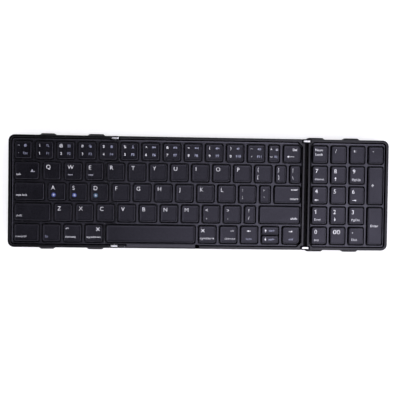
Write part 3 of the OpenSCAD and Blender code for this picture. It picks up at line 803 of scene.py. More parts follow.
def deck(name, outline, edges, radii, openings, posts, body, node, notches, extra=()):
    """A deck plate: a soft outer edge, and a small chamfer round each key opening."""
    slab = Solid()
    ringset = []
    for z, d in ((LEDGE_Z, 0.12), (LEDGE_Z + 0.12, 0.0), (DECK_Z - 0.55, 0.0), (DECK_Z - 0.14, 0.14), (DECK_Z, 0.26)):
        ringset.append([(x, y, z) for x, y in rounded(inset(outline, [e * d for e in edges]), [max(r - d, 0.15) for r in radii], 6)])
    slab.rings(ringset)
    ob = make(name, slab)
    deck_lip(ob, name[0], outline)
    cut = Solid()
    for c in openings:
        poly = cell_poly(c, -KEY_GAP / 2)
        radius = [2.0] * len(poly)
        if c[4]:
            for i in range(len(poly)):
                u, v = Vector(poly[i - 1]) - Vector(poly[i]), Vector(poly[(i + 1) % len(poly)]) - Vector(poly[i])
                if abs(u.angle(v) - math.pi / 2) > 0.2:
                    radius[i] = 0.9
        flared(cut, poly, radius, 6, LEDGE_Z - 1, DECK_Z, 0.2)
    boolean(ob, make("cutter", cut))
    if notches or extra:
        cut = Solid()
        for x0, y0, x1, y1 in list(notches) + list(extra):
            flared(cut, plan([(x0, y0), (x1, y0), (x1, y1), (x0, y1)]), 0.35, 3, LEDGE_Z - 1, DECK_Z, 0.12)
        boolean(ob, make("cutter", cut))
    clean(ob)
    s = Solid()
    deck_posts(s, posts)
    extra_ob = make("posts", s)
    join(ob, extra_ob)
    ys = [p[1] for p in outline]
    xs = [p[0] for p in outline]
    lo_x, hi_x = (min(xs) if name[0] != "m" else -99), max(xs)

    def outer_side(c, n):
        return abs(n.z) < 0.6 and c.z > LEDGE_Z and (c.y > max(ys) - 0.25 or c.y < min(ys) + 0.25 or c.x < lo_x + 0.25
                                                     or (name[0] != "l" and c.x > hi_x - 0.25))
    # the deck's outer side walls, down in the groove, get the near-black painted shade
    put_in_second_slot(ob, outer_side)
    finish_mesh(ob, 32)
    # the left deck takes the darker copy of the deck plastic, which is painted shade
    return place(ob, body, [MAT["deck_l" if node == "left_deck" else "deck"], MAT["seam"]], [node])


def join(ob, *others):
    """The others' meshes added to ob's, keeping their material slots."""
    bm = bmesh.new()
    bm.from_mesh(ob.data)
    for o in others:
        shift = len(ob.data.materials)
        before = len(bm.faces)
        bm.from_mesh(o.data)
        if o.data.materials:
            bm.faces.ensure_lookup_table()
            for f in bm.faces[before:]:
                f.material_index += shift
            for m in o.data.materials:
                ob.data.materials.append(m)
    bm.to_mesh(ob.data)
    bm.free()
    for o in others:
        data = o.data
        bpy.data.objects.remove(o)
        bpy.data.meshes.remove(data)
    return ob


D = RIM_W + GROOVE_W
RD = MID_END - FOLD_DECK
LEFT_SCREWS = [(x, row_end(i)) for x in (12, 50, 78) for i in (0, 3)]
MID_SCREWS = [(x, row_end(i)) for x in (110, 176, 250) for i in (0, 3)]
PAD_SCREWS = [(x, row_end(i)) for x in (286.9, 320.8) for i in (0, 3)] + [(303.8, row_end(i)) for i in (1, 2)]


def notch_boxes(f, over=9.0):
    e = BORDER + SIDE_GAP
    return [(f - NOTCH_HALF, -over, f + NOTCH_HALF, e), (f - NOTCH_HALF, DEPTH - e, f + NOTCH_HALF, DEPTH + over)]


def side_flags(outline, rim):
    """1 for each edge that is on the rim's side, else a small share."""
    flags = []
    for i in range(len(outline)):
        a, b = outline[i], outline[(i + 1) % len(outline)]
        flags.append(1.0 if rim(((a[0] + b[0]) / 2, (a[1] + b[1]) / 2)) else 0.35)
    return flags


# left deck: its stepped edge follows the parting
hg = PART_GAP / 2
pts = [(D, D)] + [(D, DEPTH - D)]
zz = zigzag(False, hg, SIDE_GAP, D, DEPTH - D)
# the border strips hold the deck back at both ends
left_line = [(LEFT_FOLD - hg, D), (LEFT_FOLD - hg, BORDER + SIDE_GAP)] + [(zz[0][0], BORDER + SIDE_GAP)] + zz[1:-1] + \
            [(zz[-1][0], DEPTH - BORDER - SIDE_GAP), (LEFT_FOLD - hg, DEPTH - BORDER - SIDE_GAP), (LEFT_FOLD - hg, DEPTH - D)]
left_deck_outline = plan([(D, D)] + left_line + [(D, DEPTH - D)])


def near_left_rim(p):
    return p[0] < fx(D + 1) or abs(abs(p[1]) - fy(D)) < 0.3


deck("left_deck_plate", left_deck_outline, side_flags(left_deck_outline, near_left_rim),
     corner_radii(left_deck_outline, [(D, D), (D, DEPTH - D)], CORNER_R - D, 0.4),
     LEFT_OPEN, LEFT_SCREWS, "left_panel", "left_deck", notch_boxes(LEFT_FOLD))

zz = zigzag(True, hg, SIDE_GAP, D, DEPTH - D)
mid_line = [(LEFT_FOLD + hg, D), (LEFT_FOLD + hg, BORDER - SIDE_GAP), (zz[0][0], BORDER - SIDE_GAP)] + zz[1:-1] + \
           [(zz[-1][0], DEPTH - BORDER - SIDE_GAP), (LEFT_FOLD + hg, DEPTH - BORDER - SIDE_GAP), (LEFT_FOLD + hg, DEPTH - D)]
mid_deck_outline = plan(mid_line + [(RD - 4, DEPTH - D), (RD, DEPTH - D - 4), (RD, D + 4), (RD - 4, D)])


def near_mid_rim(p):
    return p[0] > fx(RD - 5) or abs(abs(p[1]) - fy(D)) < 0.3


deck("middle_deck_plate", mid_deck_outline, side_flags(mid_deck_outline, near_mid_rim), [0.4] * len(mid_deck_outline),
     MID_OPEN, MID_SCREWS, "middle_panel", "middle_deck", notch_boxes(LEFT_FOLD) + notch_boxes(RIGHT_FOLD),
     [(STRIP[2] + 0.1, 96.2, 169.0, 109.0)])

LD = PAD_START + FOLD_DECK
pad_deck_outline = plan([(LD + 3, D), (TOTAL - D, D), (TOTAL - D, DEPTH - D), (LD + 3, DEPTH - D), (LD, DEPTH - D - 3), (LD, D + 3)])
deck("right_deck_plate", pad_deck_outline, [1.0] * len(pad_deck_outline),
     corner_radii(pad_deck_outline, [(TOTAL - D, D), (TOTAL - D, DEPTH - D)], CORNER_R - D, 0.5),
     PAD_OPEN, PAD_SCREWS, "right_panel", "right_deck", notch_boxes(RIGHT_FOLD))

# ------------------------------------------------------------------ cases


def case_body(name, outline, flags, radii, z0, bottom, top_soft, fold_top=0.12):
    """The outer form of a case before it is hollowed. flags are 1 on edges with the soft rim, 0 on parting edges."""
    levels = []
    for k in range(5):
        a = math.radians(22.5 * k)
        levels.append((z0 + bottom * (1 - math.cos(a)), bottom * (1 - math.sin(a)), z0 + 0.12 * (1 - math.cos(a)), 0.12 * (1 - math.sin(a))))
    levels.append((RIM_Z - top_soft, 0.0, RIM_Z - fold_top, 0.0))
    for k in range(1, 6):
        a = math.radians(18 * k)
        levels.append((RIM_Z - top_soft + top_soft * math.sin(a), top_soft * (1 - math.cos(a)),
                       RIM_Z - fold_top + fold_top * math.sin(a), fold_top * (1 - math.cos(a))))
    s = Solid()
    ringset = []
    n = len(outline)
    for zr, dr, zf, df in levels:
        ds = [dr * f + df * (1 - f) for f in flags]
        poly = inset(outline, ds)
        # a corner between a rim edge and a parting edge takes the rim's height
        zs = [zr if (flags[i - 1] > 0.5 or flags[i] > 0.5) else zf for i in range(n)]
        rr = [max(r - dr, 0.12) if r > 1 else max(r, 0.12) for r in radii]
        pts = rounded(poly, rr, 8)
        ringset.append([(x, y, zs[k // 9]) for k, (x, y) in enumerate(pts)])
    s.rings(ringset)
    return make(name, s)


def ear_outline(px, x0, x1):
    """The outline of an ear in X and Z: a round eye on a stem."""
    def outline(d):
        r = LINK_R - d
        pts = [(fx(x0) + (d if x0 < px - 1.0 else 0), NOTCH_Z - 0.3), (fx(x1) - (d if x1 > px + 1.0 else 0), NOTCH_Z - 0.3)]
        lo_a = 0.0
        arc = []
        for k in range(17):
            a = lo_a + math.pi * k / 16
            arc.append((fx(px) + r * math.cos(a), PIN_Z + r * math.sin(a)))
        # right side up, over the eye, left side down
        if x1 > px + LINK_R + 0.01:
            arc = [(fx(x1), PIN_Z + 0.0)] + arc[1:]
        if x0 < px - LINK_R - 0.01:
            arc = arc[:-1] + [(fx(x0), PIN_Z + 0.0)]
        return pts + arc
    return outline


def add_ears(ob, ears):
    for px, x0, x1 in ears:
        for front in (False, True):
            s = Solid()
            y0, y1 = (DEPTH - EAR_Y1, DEPTH - EAR_Y0) if front else (EAR_Y0, EAR_Y1)
            plate_y(s, ear_outline(px, x0, x1), y0, y1, 0.08)
            boolean(ob, make("ear", s), "UNION")
    s = Solid()
    for px in sorted({e[0] for e in ears}):
        for y0, y1 in ((EAR_Y0 - 0.2, EAR_Y1 + 0.25), (DEPTH - EAR_Y1 - 0.25, DEPTH - EAR_Y0 + 0.2)):
            lathe_y(s, fx(px), PIN_Z, [(y1, 0.75), (y0, 0.75)], 32)
    return boolean(ob, make("cutter", s))


def screw_cutters(solid, z0, at):
    for x, y in at:
        lathe_z(solid, fx(x), fy(y), [(z0 - 1, 2.02), (z0 + 0.0, 2.02), (z0 + 0.12, 1.9), (z0 + 0.5, 1.9), (z0 + 0.5001, 0.75), (z0 + FLOOR_T + 0.5, 0.75)], 40)


def notch_cutter(solid, f):
    for x0, y0, x1, y1 in notch_boxes(f):
        flared(solid, plan([(x0, y0), (x1, y0), (x1, y1), (x0, y1)]), 0.5, 4, NOTCH_Z, RIM_Z, 0.3)


NOTCH_END = 170.2


def trench(ob, outline, at=(), r=0.1):
    """Cuts a narrow slot down from the ledge, just inside the rim. Corners near one of at are rounded by r."""
    radii = corner_radii(outline, at, r, 0.1)
    outer = rounded(inset(outline, 0.06), [max(r - 0.06, 0.1) for r in radii], 8)
    inner = rounded(inset(outline, 0.74), [max(r - 0.74, 0.1) for r in radii], 8)
    s = Solid()
    m = len(outer)
    for z in (5.4, LEDGE_Z + 0.6):
        s.v.extend([(x, y, z) for x, y in outer])
        s.v.extend([(x, y, z) for x, y in inner])
    for i in range(m):
        j = (i + 1) % m
        s.f += [(i, j, j + 2 * m, i + 2 * m), (m + j, m + i, 3 * m + i, 3 * m + j),
                (2 * m + i, 2 * m + j, 3 * m + j, 3 * m + i), (j, i, m + i, m + j)]
    return boolean(ob, make("cutter", s))


def in_case(c, n):
    """Walls and ledge of the recess under and around the deck, and of the notches in the rim: the faces that get the
    near-black painted shade.
    """
    if abs(c.y) > fy(BORDER + SIDE_GAP) - 0.6 and NOTCH_Z - 0.1 < c.z < RIM_Z - 0.14 and (abs(n.z) < 0.5 or c.z < NOTCH_Z + 0.1) \
            and any(abs(c.x - fx(f)) < NOTCH_HALF + 0.05 for f in (LEFT_FOLD, RIGHT_FOLD)):
        return True
    if -49.9 < c.y < -46.0 and fx(STRIP[2]) - 0.05 < c.x < fx(NOTCH_END) + 0.3 and LEDGE_Z - 0.05 < c.z < RIM_Z - 0.14 \
            and (abs(n.z) < 0.5 or c.z < LEDGE_Z + 0.05):
        return True
    rim = abs(c.y) < fy(RIM_W) + 0.05 and abs(c.x) < fx(TOTAL - RIM_W) + 0.05
    at_fold = any(abs(c.x - fx(f)) < NOTCH_HALF + 0.6 for f in (LEFT_FOLD, RIGHT_FOLD)) and abs(c.y) > fy(BORDER + SIDE_GAP) - 0.6
    return rim and not at_fold and 3.0 < c.z < RIM_Z - 0.14 and (abs(n.z) < 0.5 or c.z < LEDGE_Z + 0.05) and not outer_wall(c)


def outer_wall(c):
    """Near the folds' own edges, whose walls are in plain sight."""
    if MID_END - 0.3 < c.x + TOTAL / 2 < PAD_START + 0.3:
        return True
    zz = [(part_x(i), row_top(i) - 0.5, row_end(i) + 0.5) for i in range(5)]
    y = DEPTH / 2 - c.y
    x = c.x + TOTAL / 2
    return any(a < y < b and abs(x - px) < PART_GAP for px, a, b in zz) or (abs(x - LEFT_FOLD) < 12 and any(abs(y - row_end(i)) < 0.4 for i in range(4)))


# left case
zz = zigzag(False, hg, SIDE_GAP, 0, DEPTH)
e = BORDER + SIDE_GAP
left_outline = plan([(0, 0), (LEFT_FOLD - hg, 0), (LEFT_FOLD - hg, e), (zz[0][0], e)] + zz[1:-1] +
                    [(zz[-1][0], DEPTH - e), (LEFT_FOLD - hg, DEPTH - e), (LEFT_FOLD - hg, DEPTH), (0, DEPTH)])


def flags_for(outline, test):
    out = []
    for i in range(len(outline)):
        a, b = outline[i], outline[(i + 1) % len(outline)]
        out.append(1.0 if test(((a[0] + b[0]) / 2, (a[1] + b[1]) / 2)) else 0.0)
    return out


left_flags = flags_for(left_outline, lambda p: p[0] < fx(0.5) or abs(p[1]) > DEPTH / 2 - 0.1)
left_case = case_body("left_case_shell", left_outline, left_flags,
                      corner_radii(left_outline, [(0, 0), (0, DEPTH)], CORNER_R, 0.25), SIDE_Z, 1.1, 0.6)
cut = Solid()
recess = plan([(RIM_W, RIM_W), (125, RIM_W), (125, DEPTH - RIM_W), (RIM_W, DEPTH - RIM_W)])
flared(cut, recess, corner_radii(recess, [(RIM_W, RIM_W), (RIM_W, DEPTH - RIM_W)], CORNER_R - RIM_W, 0.3), 8, LEDGE_Z, RIM_Z, 0.12)
boolean(left_case, make("cutter", cut))
zc = zigzag(False, hg + THIN, SIDE_GAP + 0.4, 4.2, DEPTH - WALL)
trench(left_case, plan([(RIM_W, RIM_W), (86.5, RIM_W), (86.5, DEPTH - RIM_W), (RIM_W, DEPTH - RIM_W)]),
       [(RIM_W, RIM_W), (RIM_W, DEPTH - RIM_W)], CORNER_R - RIM_W)
cavity = plan([(WALL, 4.2)] + zc + [(WALL, DEPTH - WALL)])
cut = Solid()
cut.rings([[(x, y, z) for x, y in rounded(inset(cavity, d), 0.6, 4)] for z, d in ((SIDE_Z + FLOOR_T, 0.3), (SIDE_Z + FLOOR_T + 0.3, 0.0), (LEDGE_Z + 1, 0.0))])
boolean(left_case, make("cutter", cut))
cut = Solid()
notch_cutter(cut, LEFT_FOLD)
boolean(left_case, make("cutter", cut))
cut = Solid()
screw_cutters(cut, SIDE_Z, LEFT_SCREWS)
box_cut(cut, 93, row_y(3) - 6, FILM_Z - 0.05, 98, row_y(3) + 6, FILM_Z + 0.5, 0.1)
boolean(left_case, make("cutter", cut))
PIN_L_IN, PIN_L_OUT = LEFT_FOLD + PIN_GAP / 2, LEFT_FOLD - PIN_GAP / 2
PIN_R_IN, PIN_R_OUT = RIGHT_FOLD - PIN_GAP / 2, RIGHT_FOLD + PIN_GAP / 2
add_ears(left_case, [(PIN_L_OUT, PIN_L_OUT - LINK_R, PIN_L_OUT + LINK_R)])
clean(left_case)
# the recess, trench and notch walls get the near-black painted shade
put_in_second_slot(left_case, in_case)
finish_mesh(left_case, 32)
# the left case takes the darker, less glossy copy of the case plastic, which is painted shade
place(left_case, "left_panel", [MAT["case_l"], MAT["seam"]], ["left_case"])

# middle case
zz = zigzag(True, hg, SIDE_GAP, 0, DEPTH)
em = BORDER - SIDE_GAP
mid_outline = plan([(LEFT_FOLD + hg, 0), (LEFT_FOLD + hg, em), (zz[0][0], em)] + zz[1:-1] +
                   [(zz[-1][0], DEPTH - e), (LEFT_FOLD + hg, DEPTH - e), (LEFT_FOLD + hg, DEPTH), (MID_END, DEPTH), (MID_END, 0)])
mid_flags = flags_for(mid_outline, lambda p: abs(p[1]) > DEPTH / 2 - 0.1)
right_edge = flags_for(mid_outline, lambda p: p[0] > fx(MID_END) - 0.1)
mid_flags = [max(a, 0.45 * b) for a, b in zip(mid_flags, right_edge)]
middle_case = case_body("middle_case_shell", mid_outline, mid_flags, [0.25] * len(mid_outline), MID_Z, 1.1, 0.6)
cut = Solid()
RR = MID_END - FOLD_RIM
recess = plan([(70, RIM_W), (RR - 4.4, RIM_W), (RR, RIM_W + 4.4), (RR, DEPTH - RIM_W - 4.4), (RR - 4.4, DEPTH - RIM_W), (70, DEPTH - RIM_W)])
flared(cut, recess, 0.5, 5, LEDGE_Z, RIM_Z, 0.12)
boolean(middle_case, make("cutter", cut))
zc = zigzag(True, hg + THIN, SIDE_GAP + 0.4, WALL, DEPTH - WALL)
trench(middle_case, plan([(100.5, RIM_W), (257.6, RIM_W), (RR, RIM_W + 5.1), (RR, DEPTH - RIM_W - 5.1), (257.6, DEPTH - RIM_W), (100.5, DEPTH - RIM_W)]))
cavity = plan(zc + [(MID_END - FOLD_WALL, DEPTH - WALL), (MID_END - FOLD_WALL, WALL)])
cut = Solid()
cut.rings([[(x, y, z) for x, y in rounded(inset(cavity, d), 0.6, 4)] for z, d in ((MID_Z + FLOOR_T, 0.3), (MID_Z + FLOOR_T + 0.3, 0.0), (LEDGE_Z + 1, 0.0))])
boolean(middle_case, make("cutter", cut))
cut = Solid()
notch_cutter(cut, LEFT_FOLD)
notch_cutter(cut, RIGHT_FOLD)
boolean(middle_case, make("cutter", cut))
cut = Solid()
screw_cutters(cut, MID_Z, MID_SCREWS)
box_cut(cut, 93, row_y(3) - 6, FILM_Z - 0.05, 98, row_y(3) + 6, FILM_Z + 0.5, 0.1)
box_cut(cut, 261, row_y(2) - 6, FILM_Z - 0.05, 266, row_y(2) + 6, FILM_Z + 0.5, 0.1)
boolean(middle_case, make("cutter", cut))
cut = Solid()
box_cut(cut, STRIP[0], STRIP[1] - 1, DECK_Z, STRIP[2], STRIP[3], RIM_Z + 1, 0.15)
boolean(middle_case, make("cutter", cut))
cut = Solid()
flared(cut, plan([(STRIP[2] + 0.1, 96.2), (NOTCH_END, 96.2), (NOTCH_END, 109.0), (STRIP[2] + 0.1, 109.0)]), 0.3, 3, LEDGE_Z, RIM_Z, 0.2)
boolean(middle_case, make("cutter", cut))
cut = Solid()
lathe_z(cut, fx(LED_AT[0]), fy(LED_AT[1]), [(9.2, 0.5), (RIM_Z - 0.1, 0.5), (RIM_Z + 0.4, 0.9)], 24)


def usb_ring(hx, r, y, z=3.6, seg=10):
    """A flat-oval ring across Y, anticlockwise seen from the front."""
    pts = []
    for s, a0 in ((1, -math.pi / 2), (-1, math.pi / 2)):
        for k in range(seg + 1):
            a = a0 + math.pi * k / seg
            pts.append((fx(USB_X) + s * (hx - r) + r * math.cos(a), fy(y), z + r * math.sin(a)))
    return pts


cut.rings([usb_ring(4.55, 1.68, 6.0), usb_ring(4.55, 1.68, 0.35), usb_ring(4.95, 2.08, -0.05), usb_ring(5.3, 2.4, -1.0)][::-1])
boolean(middle_case, make("cutter", cut))
add_ears(middle_case, [(PIN_L_IN, PIN_L_IN - LINK_R, PIN_L_IN + LINK_R), (PIN_R_IN, PIN_R_IN - LINK_R, MID_END)])
clean(middle_case)
# the recess, trench and notch walls get the near-black painted shade
put_in_second_slot(middle_case, in_case)
finish_mesh(middle_case, 32)
place(middle_case, "middle_panel", [MAT["case"], MAT["seam"]], ["middle_case"])

# right case
pad_outline = plan([(PAD_START, 0), (TOTAL, 0), (TOTAL, DEPTH), (PAD_START, DEPTH)])
pad_flags = flags_for(pad_outline, lambda p: p[0] > fx(TOTAL) - 0.1 or abs(p[1]) > DEPTH / 2 - 0.1)
pad_flags = [x if x else 0.45 for x in pad_flags]
right_case = case_body("right_case_shell", pad_outline, pad_flags,
                       corner_radii(pad_outline, [(TOTAL, 0), (TOTAL, DEPTH)], CORNER_R, 0.25), SIDE_Z, 1.1, 0.6)
cut = Solid()
LR = PAD_START + FOLD_RIM
recess = plan([(LR + 3.4, RIM_W), (TOTAL - RIM_W, RIM_W), (TOTAL - RIM_W, DEPTH - RIM_W), (LR + 3.4, DEPTH - RIM_W), (LR, DEPTH - RIM_W - 3.4), (LR, RIM_W + 3.4)])
flared(cut, recess, corner_radii(recess, [(TOTAL - RIM_W, RIM_W), (TOTAL - RIM_W, DEPTH - RIM_W)], CORNER_R - RIM_W, 0.5), 8, LEDGE_Z, RIM_Z, 0.12)
boolean(right_case, make("cutter", cut))
trench(right_case, plan([(LR + 3.4, RIM_W), (TOTAL - RIM_W, RIM_W), (TOTAL - RIM_W, DEPTH - RIM_W), (LR + 3.4, DEPTH - RIM_W), (LR, DEPTH - RIM_W - 3.4), (LR, RIM_W + 3.4)]),
       [(TOTAL - RIM_W, RIM_W), (TOTAL - RIM_W, DEPTH - RIM_W)], CORNER_R - RIM_W)
cut = Solid()
cavity = plan([(PAD_START + FOLD_WALL, WALL), (TOTAL - WALL, WALL), (TOTAL - WALL, DEPTH - WALL), (PAD_START + FOLD_WALL, DEPTH - WALL)])
cut.rings([[(x, y, z) for x, y in rounded(inset(cavity, d), 1.2, 4)] for z, d in ((SIDE_Z + FLOOR_T, 0.3), (SIDE_Z + FLOOR_T + 0.3, 0.0), (LEDGE_Z + 1, 0.0))])
boolean(right_case, make("cutter", cut))
cut = Solid()
notch_cutter(cut, RIGHT_FOLD)
boolean(right_case, make("cutter", cut))
cut = Solid()
screw_cutters(cut, SIDE_Z, PAD_SCREWS)
box_cut(cut, 266, row_y(2) - 6, FILM_Z - 0.05, 271, row_y(2) + 6, FILM_Z + 0.5, 0.1)
boolean(right_case, make("cutter", cut))
add_ears(right_case, [(PIN_R_OUT, PAD_START, PIN_R_OUT + LINK_R)])
clean(right_case)
# the recess, trench and notch walls get the near-black painted shade
put_in_second_slot(right_case, in_case)
finish_mesh(right_case, 32)
# the right case takes the less glossy copy of the case plastic, which is painted shade
place(right_case, "right_panel", [MAT["case_r"], MAT["seam"]], ["right_case"])

# ------------------------------------------------------------------ strip and light
s = Solid()
strip_poly = plan([(STRIP[0] + 0.04, STRIP[1]), (STRIP[2] - 0.04, STRIP[1]), (STRIP[2] - 0.04, STRIP[3] - 0.03), (STRIP[0] + 0.04, STRIP[3] - 0.03)])
s.rings([[(x, y, z) for x, y in rounded(inset(strip_poly, d), max(0.4 - d, 0.12), 5)]
         for z, d in ((DECK_Z, 0.03), (9.45, 0.0), (9.62, 0.05), (9.73, 0.14), (9.79, 0.28), (9.8, 0.42))])
strip = make("indicator_strip", s)
finish_mesh(strip, 40)
strip.data.materials.append(MAT["window"])
s = Solid()
lathe_z(s, fx(LED_AT[0]), fy(LED_AT[1]), [(9.2, 0.44), (9.7, 0.44), (9.82, 0.40), (9.90, 0.29), (9.945, 0.12)], 24)
lens = make("indicator_lens", s)
finish_mesh(lens, 60)
place(lens, "middle_panel", MAT["led"])
place(strip, "middle_panel", MAT["window"], ["indicator_window"])

# ------------------------------------------------------------------ folds


def link_outline(f, grow=0.0, corner=1.0):
    half_x, half_z = PIN_GAP / 2 + LINK_R + grow, LINK_R + grow

    def outline(d):
        poly = [(fx(f) - half_x + d, PIN_Z - half_z + d), (fx(f) + half_x - d, PIN_Z - half_z + d),
                (fx(f) + half_x - d, PIN_Z + half_z - d), (fx(f) - half_x + d, PIN_Z + half_z - d)]
        return rounded(poly, max(corner - d, 0.1), 8)
    return outline


def at_both_ends(y0, y1):
    return ((y0, y1), (DEPTH - y1, DEPTH - y0))


for side, f, tab in (("left", LEFT_FOLD, False), ("right", RIGHT_FOLD, True)):
    body = side + "_link"
    s = Solid()
    for y0, y1 in at_both_ends(CAP_Y, LINK_Y):
        plate_y(s, link_outline(f), y0, y1, 0.16)
    ob = make(side + "_hinge_plates", s)
    if tab:
        for y0, y1 in at_both_ends(CAP_Y, LINK_Y):
            t = Solid()

            def tab_outline(d, f=f):
                poly = [(fx(f) - 1.2 + d, 4.5 + d), (fx(f) + 1.2 - d, 4.5 + d), (fx(f) + 1.2 - d, 8.0), (fx(f) - 1.2 + d, 8.0)]
                return rounded(poly, 0.3, 4)
            plate_y(t, tab_outline, y0 + 0.05, y1 - 0.05, 0.12)
            boolean(ob, make("tab", t), "UNION")
    recalc(clean(ob))
    put_in_second_slot(ob, lambda c, n, f=f: abs(n.x) > 0.5 and abs(c.x - fx(f)) > PIN_GAP / 2)
    finish_mesh(ob, 32)
    place(ob, body, [MAT["chrome"], MAT["cover"]], [side + "_hinge_links"])
    # outer covers: a shallow dished face with a soft rim
    s = Solid()
    for front in (False, True):
        outline = link_outline(f)
        steps = [(0.0, 0.55), (0.0, 0.32), (0.06, 0.12), (0.2, 0.02), (0.34, 0.0), (1.05, 0.0)]
        ringset = [[(x, fy(DEPTH - y if front else y), z) for x, z in outline(d)] for y, d in steps]
        inner = [[(x, fy(DEPTH - 0.14 if front else 0.14), z) for x, z in outline(0.75)]]
        ringset = inner + ringset
        s.rings(ringset if front else ringset[::-1])
    ob = recalc(make(side + "_hinge_covers", s))
    finish_mesh(ob, 40)
    place(ob, body, MAT["cover"], [side + "_hinge_caps"])

# spine bar
s = Solid()


def spine_outline(d):
    poly = [(fx(RIGHT_FOLD) - 1.2 + d, 3.8 + d), (fx(RIGHT_FOLD) + 1.2 - d, 3.8 + d),
            (fx(RIGHT_FOLD) + 1.2 - d, 6.8 - d), (fx(RIGHT_FOLD) - 1.2 + d, 6.8 - d)]
    return rounded(poly, 0.6 - 0.5 * d, 6)


plate_y(s, spine_outline, LINK_Y, DEPTH - LINK_Y, 0.15)
spine = make("right_spine_bar", s)
cut = Solid()
box_cut(cut, RIGHT_FOLD - 3, row_y(2) - 6, FILM_Z - 0.15, RIGHT_FOLD + 3, row_y(2) + 6, FILM_Z + 0.4, 0.1)
boolean(spine, make("cutter", cut))
clean(spine)
finish_mesh(spine, 35)
place(spine, "right_link", MAT["spine"], ["right_hinge_spine"])

# flat cables, each in two halves, from the exits of the cases to the middle of the link
for side, x_side, x_link, x_mid, row, half in (("left", 92.2, LEFT_FOLD, 98.8, 3, 5.5), ("right", 272.0, RIGHT_FOLD, 257.0, 2, 5.5)):
    for part, xa, xb, a, b in (("inner", x_mid, x_link, "middle_panel", side + "_link"), ("outer", x_link, x_side, side + "_link", side + "_panel")):
        s = Solid()
        n = 28
        lo, hi = (xa, xb) if xa < xb else (xb, xa)
        ringset = []
        for k in range(n + 1):
            x = lo + (hi - lo) * k / n
            y0, y1 = row_y(row) - half, row_y(row) + half
            # across the strip: rounded edges and two shallow conductor ridges
            section = [(y1, 4.80), (y0, 4.80), (y0 - 0.03, 4.9), (y0, 5.0), (y0 + 1.2, 5.0), (y0 + 1.4, 4.98), (y1 - 1.4, 4.98), (y1 - 1.2, 5.0), (y1, 5.0), (y1 + 0.03, 4.9)]
            ringset.append([(fx(x), fy(y), z) for y, z in section])
        s.rings(ringset)
        ob = make(side + "_flat_cable_" + part, s)
        bm = bmesh.new()
        bm.from_mesh(ob.data)
        bmesh.ops.recalc_face_normals(bm, faces=bm.faces)
        bm.to_mesh(ob.data)
        bm.free()
        finish_mesh(ob, 40, weighted=False)
        ob.data.materials.append(MAT["flex"])
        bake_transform(ob)
        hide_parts(side + "_flex_cable")

# ------------------------------------------------------------------ feet


def hump(x0, x1, out, n=40):
    """Plan points of a foot's outer edge from x0 to x1, standing out by up to out, as (x, y out of the edge)."""
    pts = []
    for k in range(n + 1):
        u = k / n
        x = x0 + (x1 - x0) * u
        e = min(1.0, (x - x0) / 2.2, (x1 - x) / 2.2)
        # a straight ramp with eased ends
        s0 = 0.55 * e + 0.45 * e * e * (3 - 2 * e)
        crown = 1 - 0.05 * (2 * u - 1) ** 2
        pts.append((x, out * s0 * crown))
    return pts


def foot(solid, x0, x1, front):
    """A rubber foot: a block that stands out past the long edge, with a pad that runs under the panel."""
    def to(x, yo, z):
        y = -yo
        return (fx(x), fy(DEPTH - y if front else y), z)

    # block outside the edge, levels from the table up
    levels = [(0.0, 0.35, 0.25), (0.12, 0.12, 0.1), (0.4, 0.0, 0.0), (5.9, 0.0, 0.0), (6.5, 0.08, 0.06), (6.95, 0.3, 0.25), (7.15, 0.62, 0.55), (7.2, 0.9, 0.8)]
    ringset = []
    for z, dy, dx in levels:
        xa, xb = x0 + dx, x1 - dx
        pts = [(x, max(yo - dy, 0.0)) for x, yo in hump(xa, xb, 1.6)]
        pts = [(x, max(y, 0.015)) for x, y in pts]
        outer = [to(x, y, z) for x, y in pts]
        inner = [to(x, -0.0, z) for x, _ in reversed(pts)]
        ringset.append(outer + inner)
    solid.rings(ringset if front else [r[::-1] for r in ringset])
    # pad under the panel, ribbed on its lower face
    n = 60
    xs = [x0 + 0.5 + (x1 - x0 - 1.0) * k / n for k in range(n + 1)]

    def low(x):
        # four shallow grip grooves across the pad
        u = (x - x0) / (x1 - x0) * 5
        g = abs(u - round(u))
        return 0.22 if (g < 0.07 and 0.4 < u < 4.6) else 0.0

    ringset = []
    for y_in, lift in ((0.0, 0.0), (5.6, 0.0), (5.9, 0.12), (6.0, 0.4)):
        bottom = [to(x, -y_in, max(low(x), lift)) for x in xs]
        top = [to(x, -y_in, SIDE_Z - 0.001 if lift < 0.3 else SIDE_Z - 0.2) for x in reversed(xs)]
        ringset.append(bottom + top)
    base = len(solid.v)
    m = len(ringset[0])
    for r in ringset:
        solid.v.extend(r)
    faces = []
    for k in range(len(ringset) - 1):
        for i in range(m):
            j = (i + 1) % m
            faces.append((base + k * m + i, base + k * m + j, base + (k + 1) * m + j, base + (k + 1) * m + i))
    h = len(xs)
    for k, flip in ((0, True), (len(ringset) - 1, False)):
        b0 = base + k * m
        for i in range(h - 1):
            quad = (b0 + i, b0 + i + 1, b0 + m - 2 - i, b0 + m - 1 - i)
            faces.append(quad[::-1] if flip else quad)
    solid.f.extend(faces)


for side, spots in (("left", [(26.7, 41.9), (69, 85.2)]), ("right", [(266.2, 283.1), (299, 315.2)])):
    s = Solid()
    for x0, x1 in spots:
        for front in (False, True):
            foot(s, x0, x1, front)
    ob = recalc(make(side + "_rubber_feet", s))
    finish_mesh(ob, 38, weighted=False)
    place(ob, side + "_panel", MAT["rubber"], [side + "_feet"])

s = Solid()
for x in (104, 226):
    for y in (6, 89):
        poly = plan([(x, y), (x + 30, y), (x + 30, y + 5), (x, y + 5)])
        s.rings([[(px, py, z) for px, py in rounded(inset(poly, d), max(2.4 - d, 0.2), 10)]
                 for z, d in ((0.06, 1.1), (0.0, 0.75), (0.0, 0.35), (0.08, 0.1), (0.2, 0.0), (MID_Z, 0.0))])
ob = make("middle_rubber_pads", s)
finish_mesh(ob, 45)
place(ob, "middle_panel", MAT["rubber"], ["middle_feet"])

# ------------------------------------------------------------------ screws


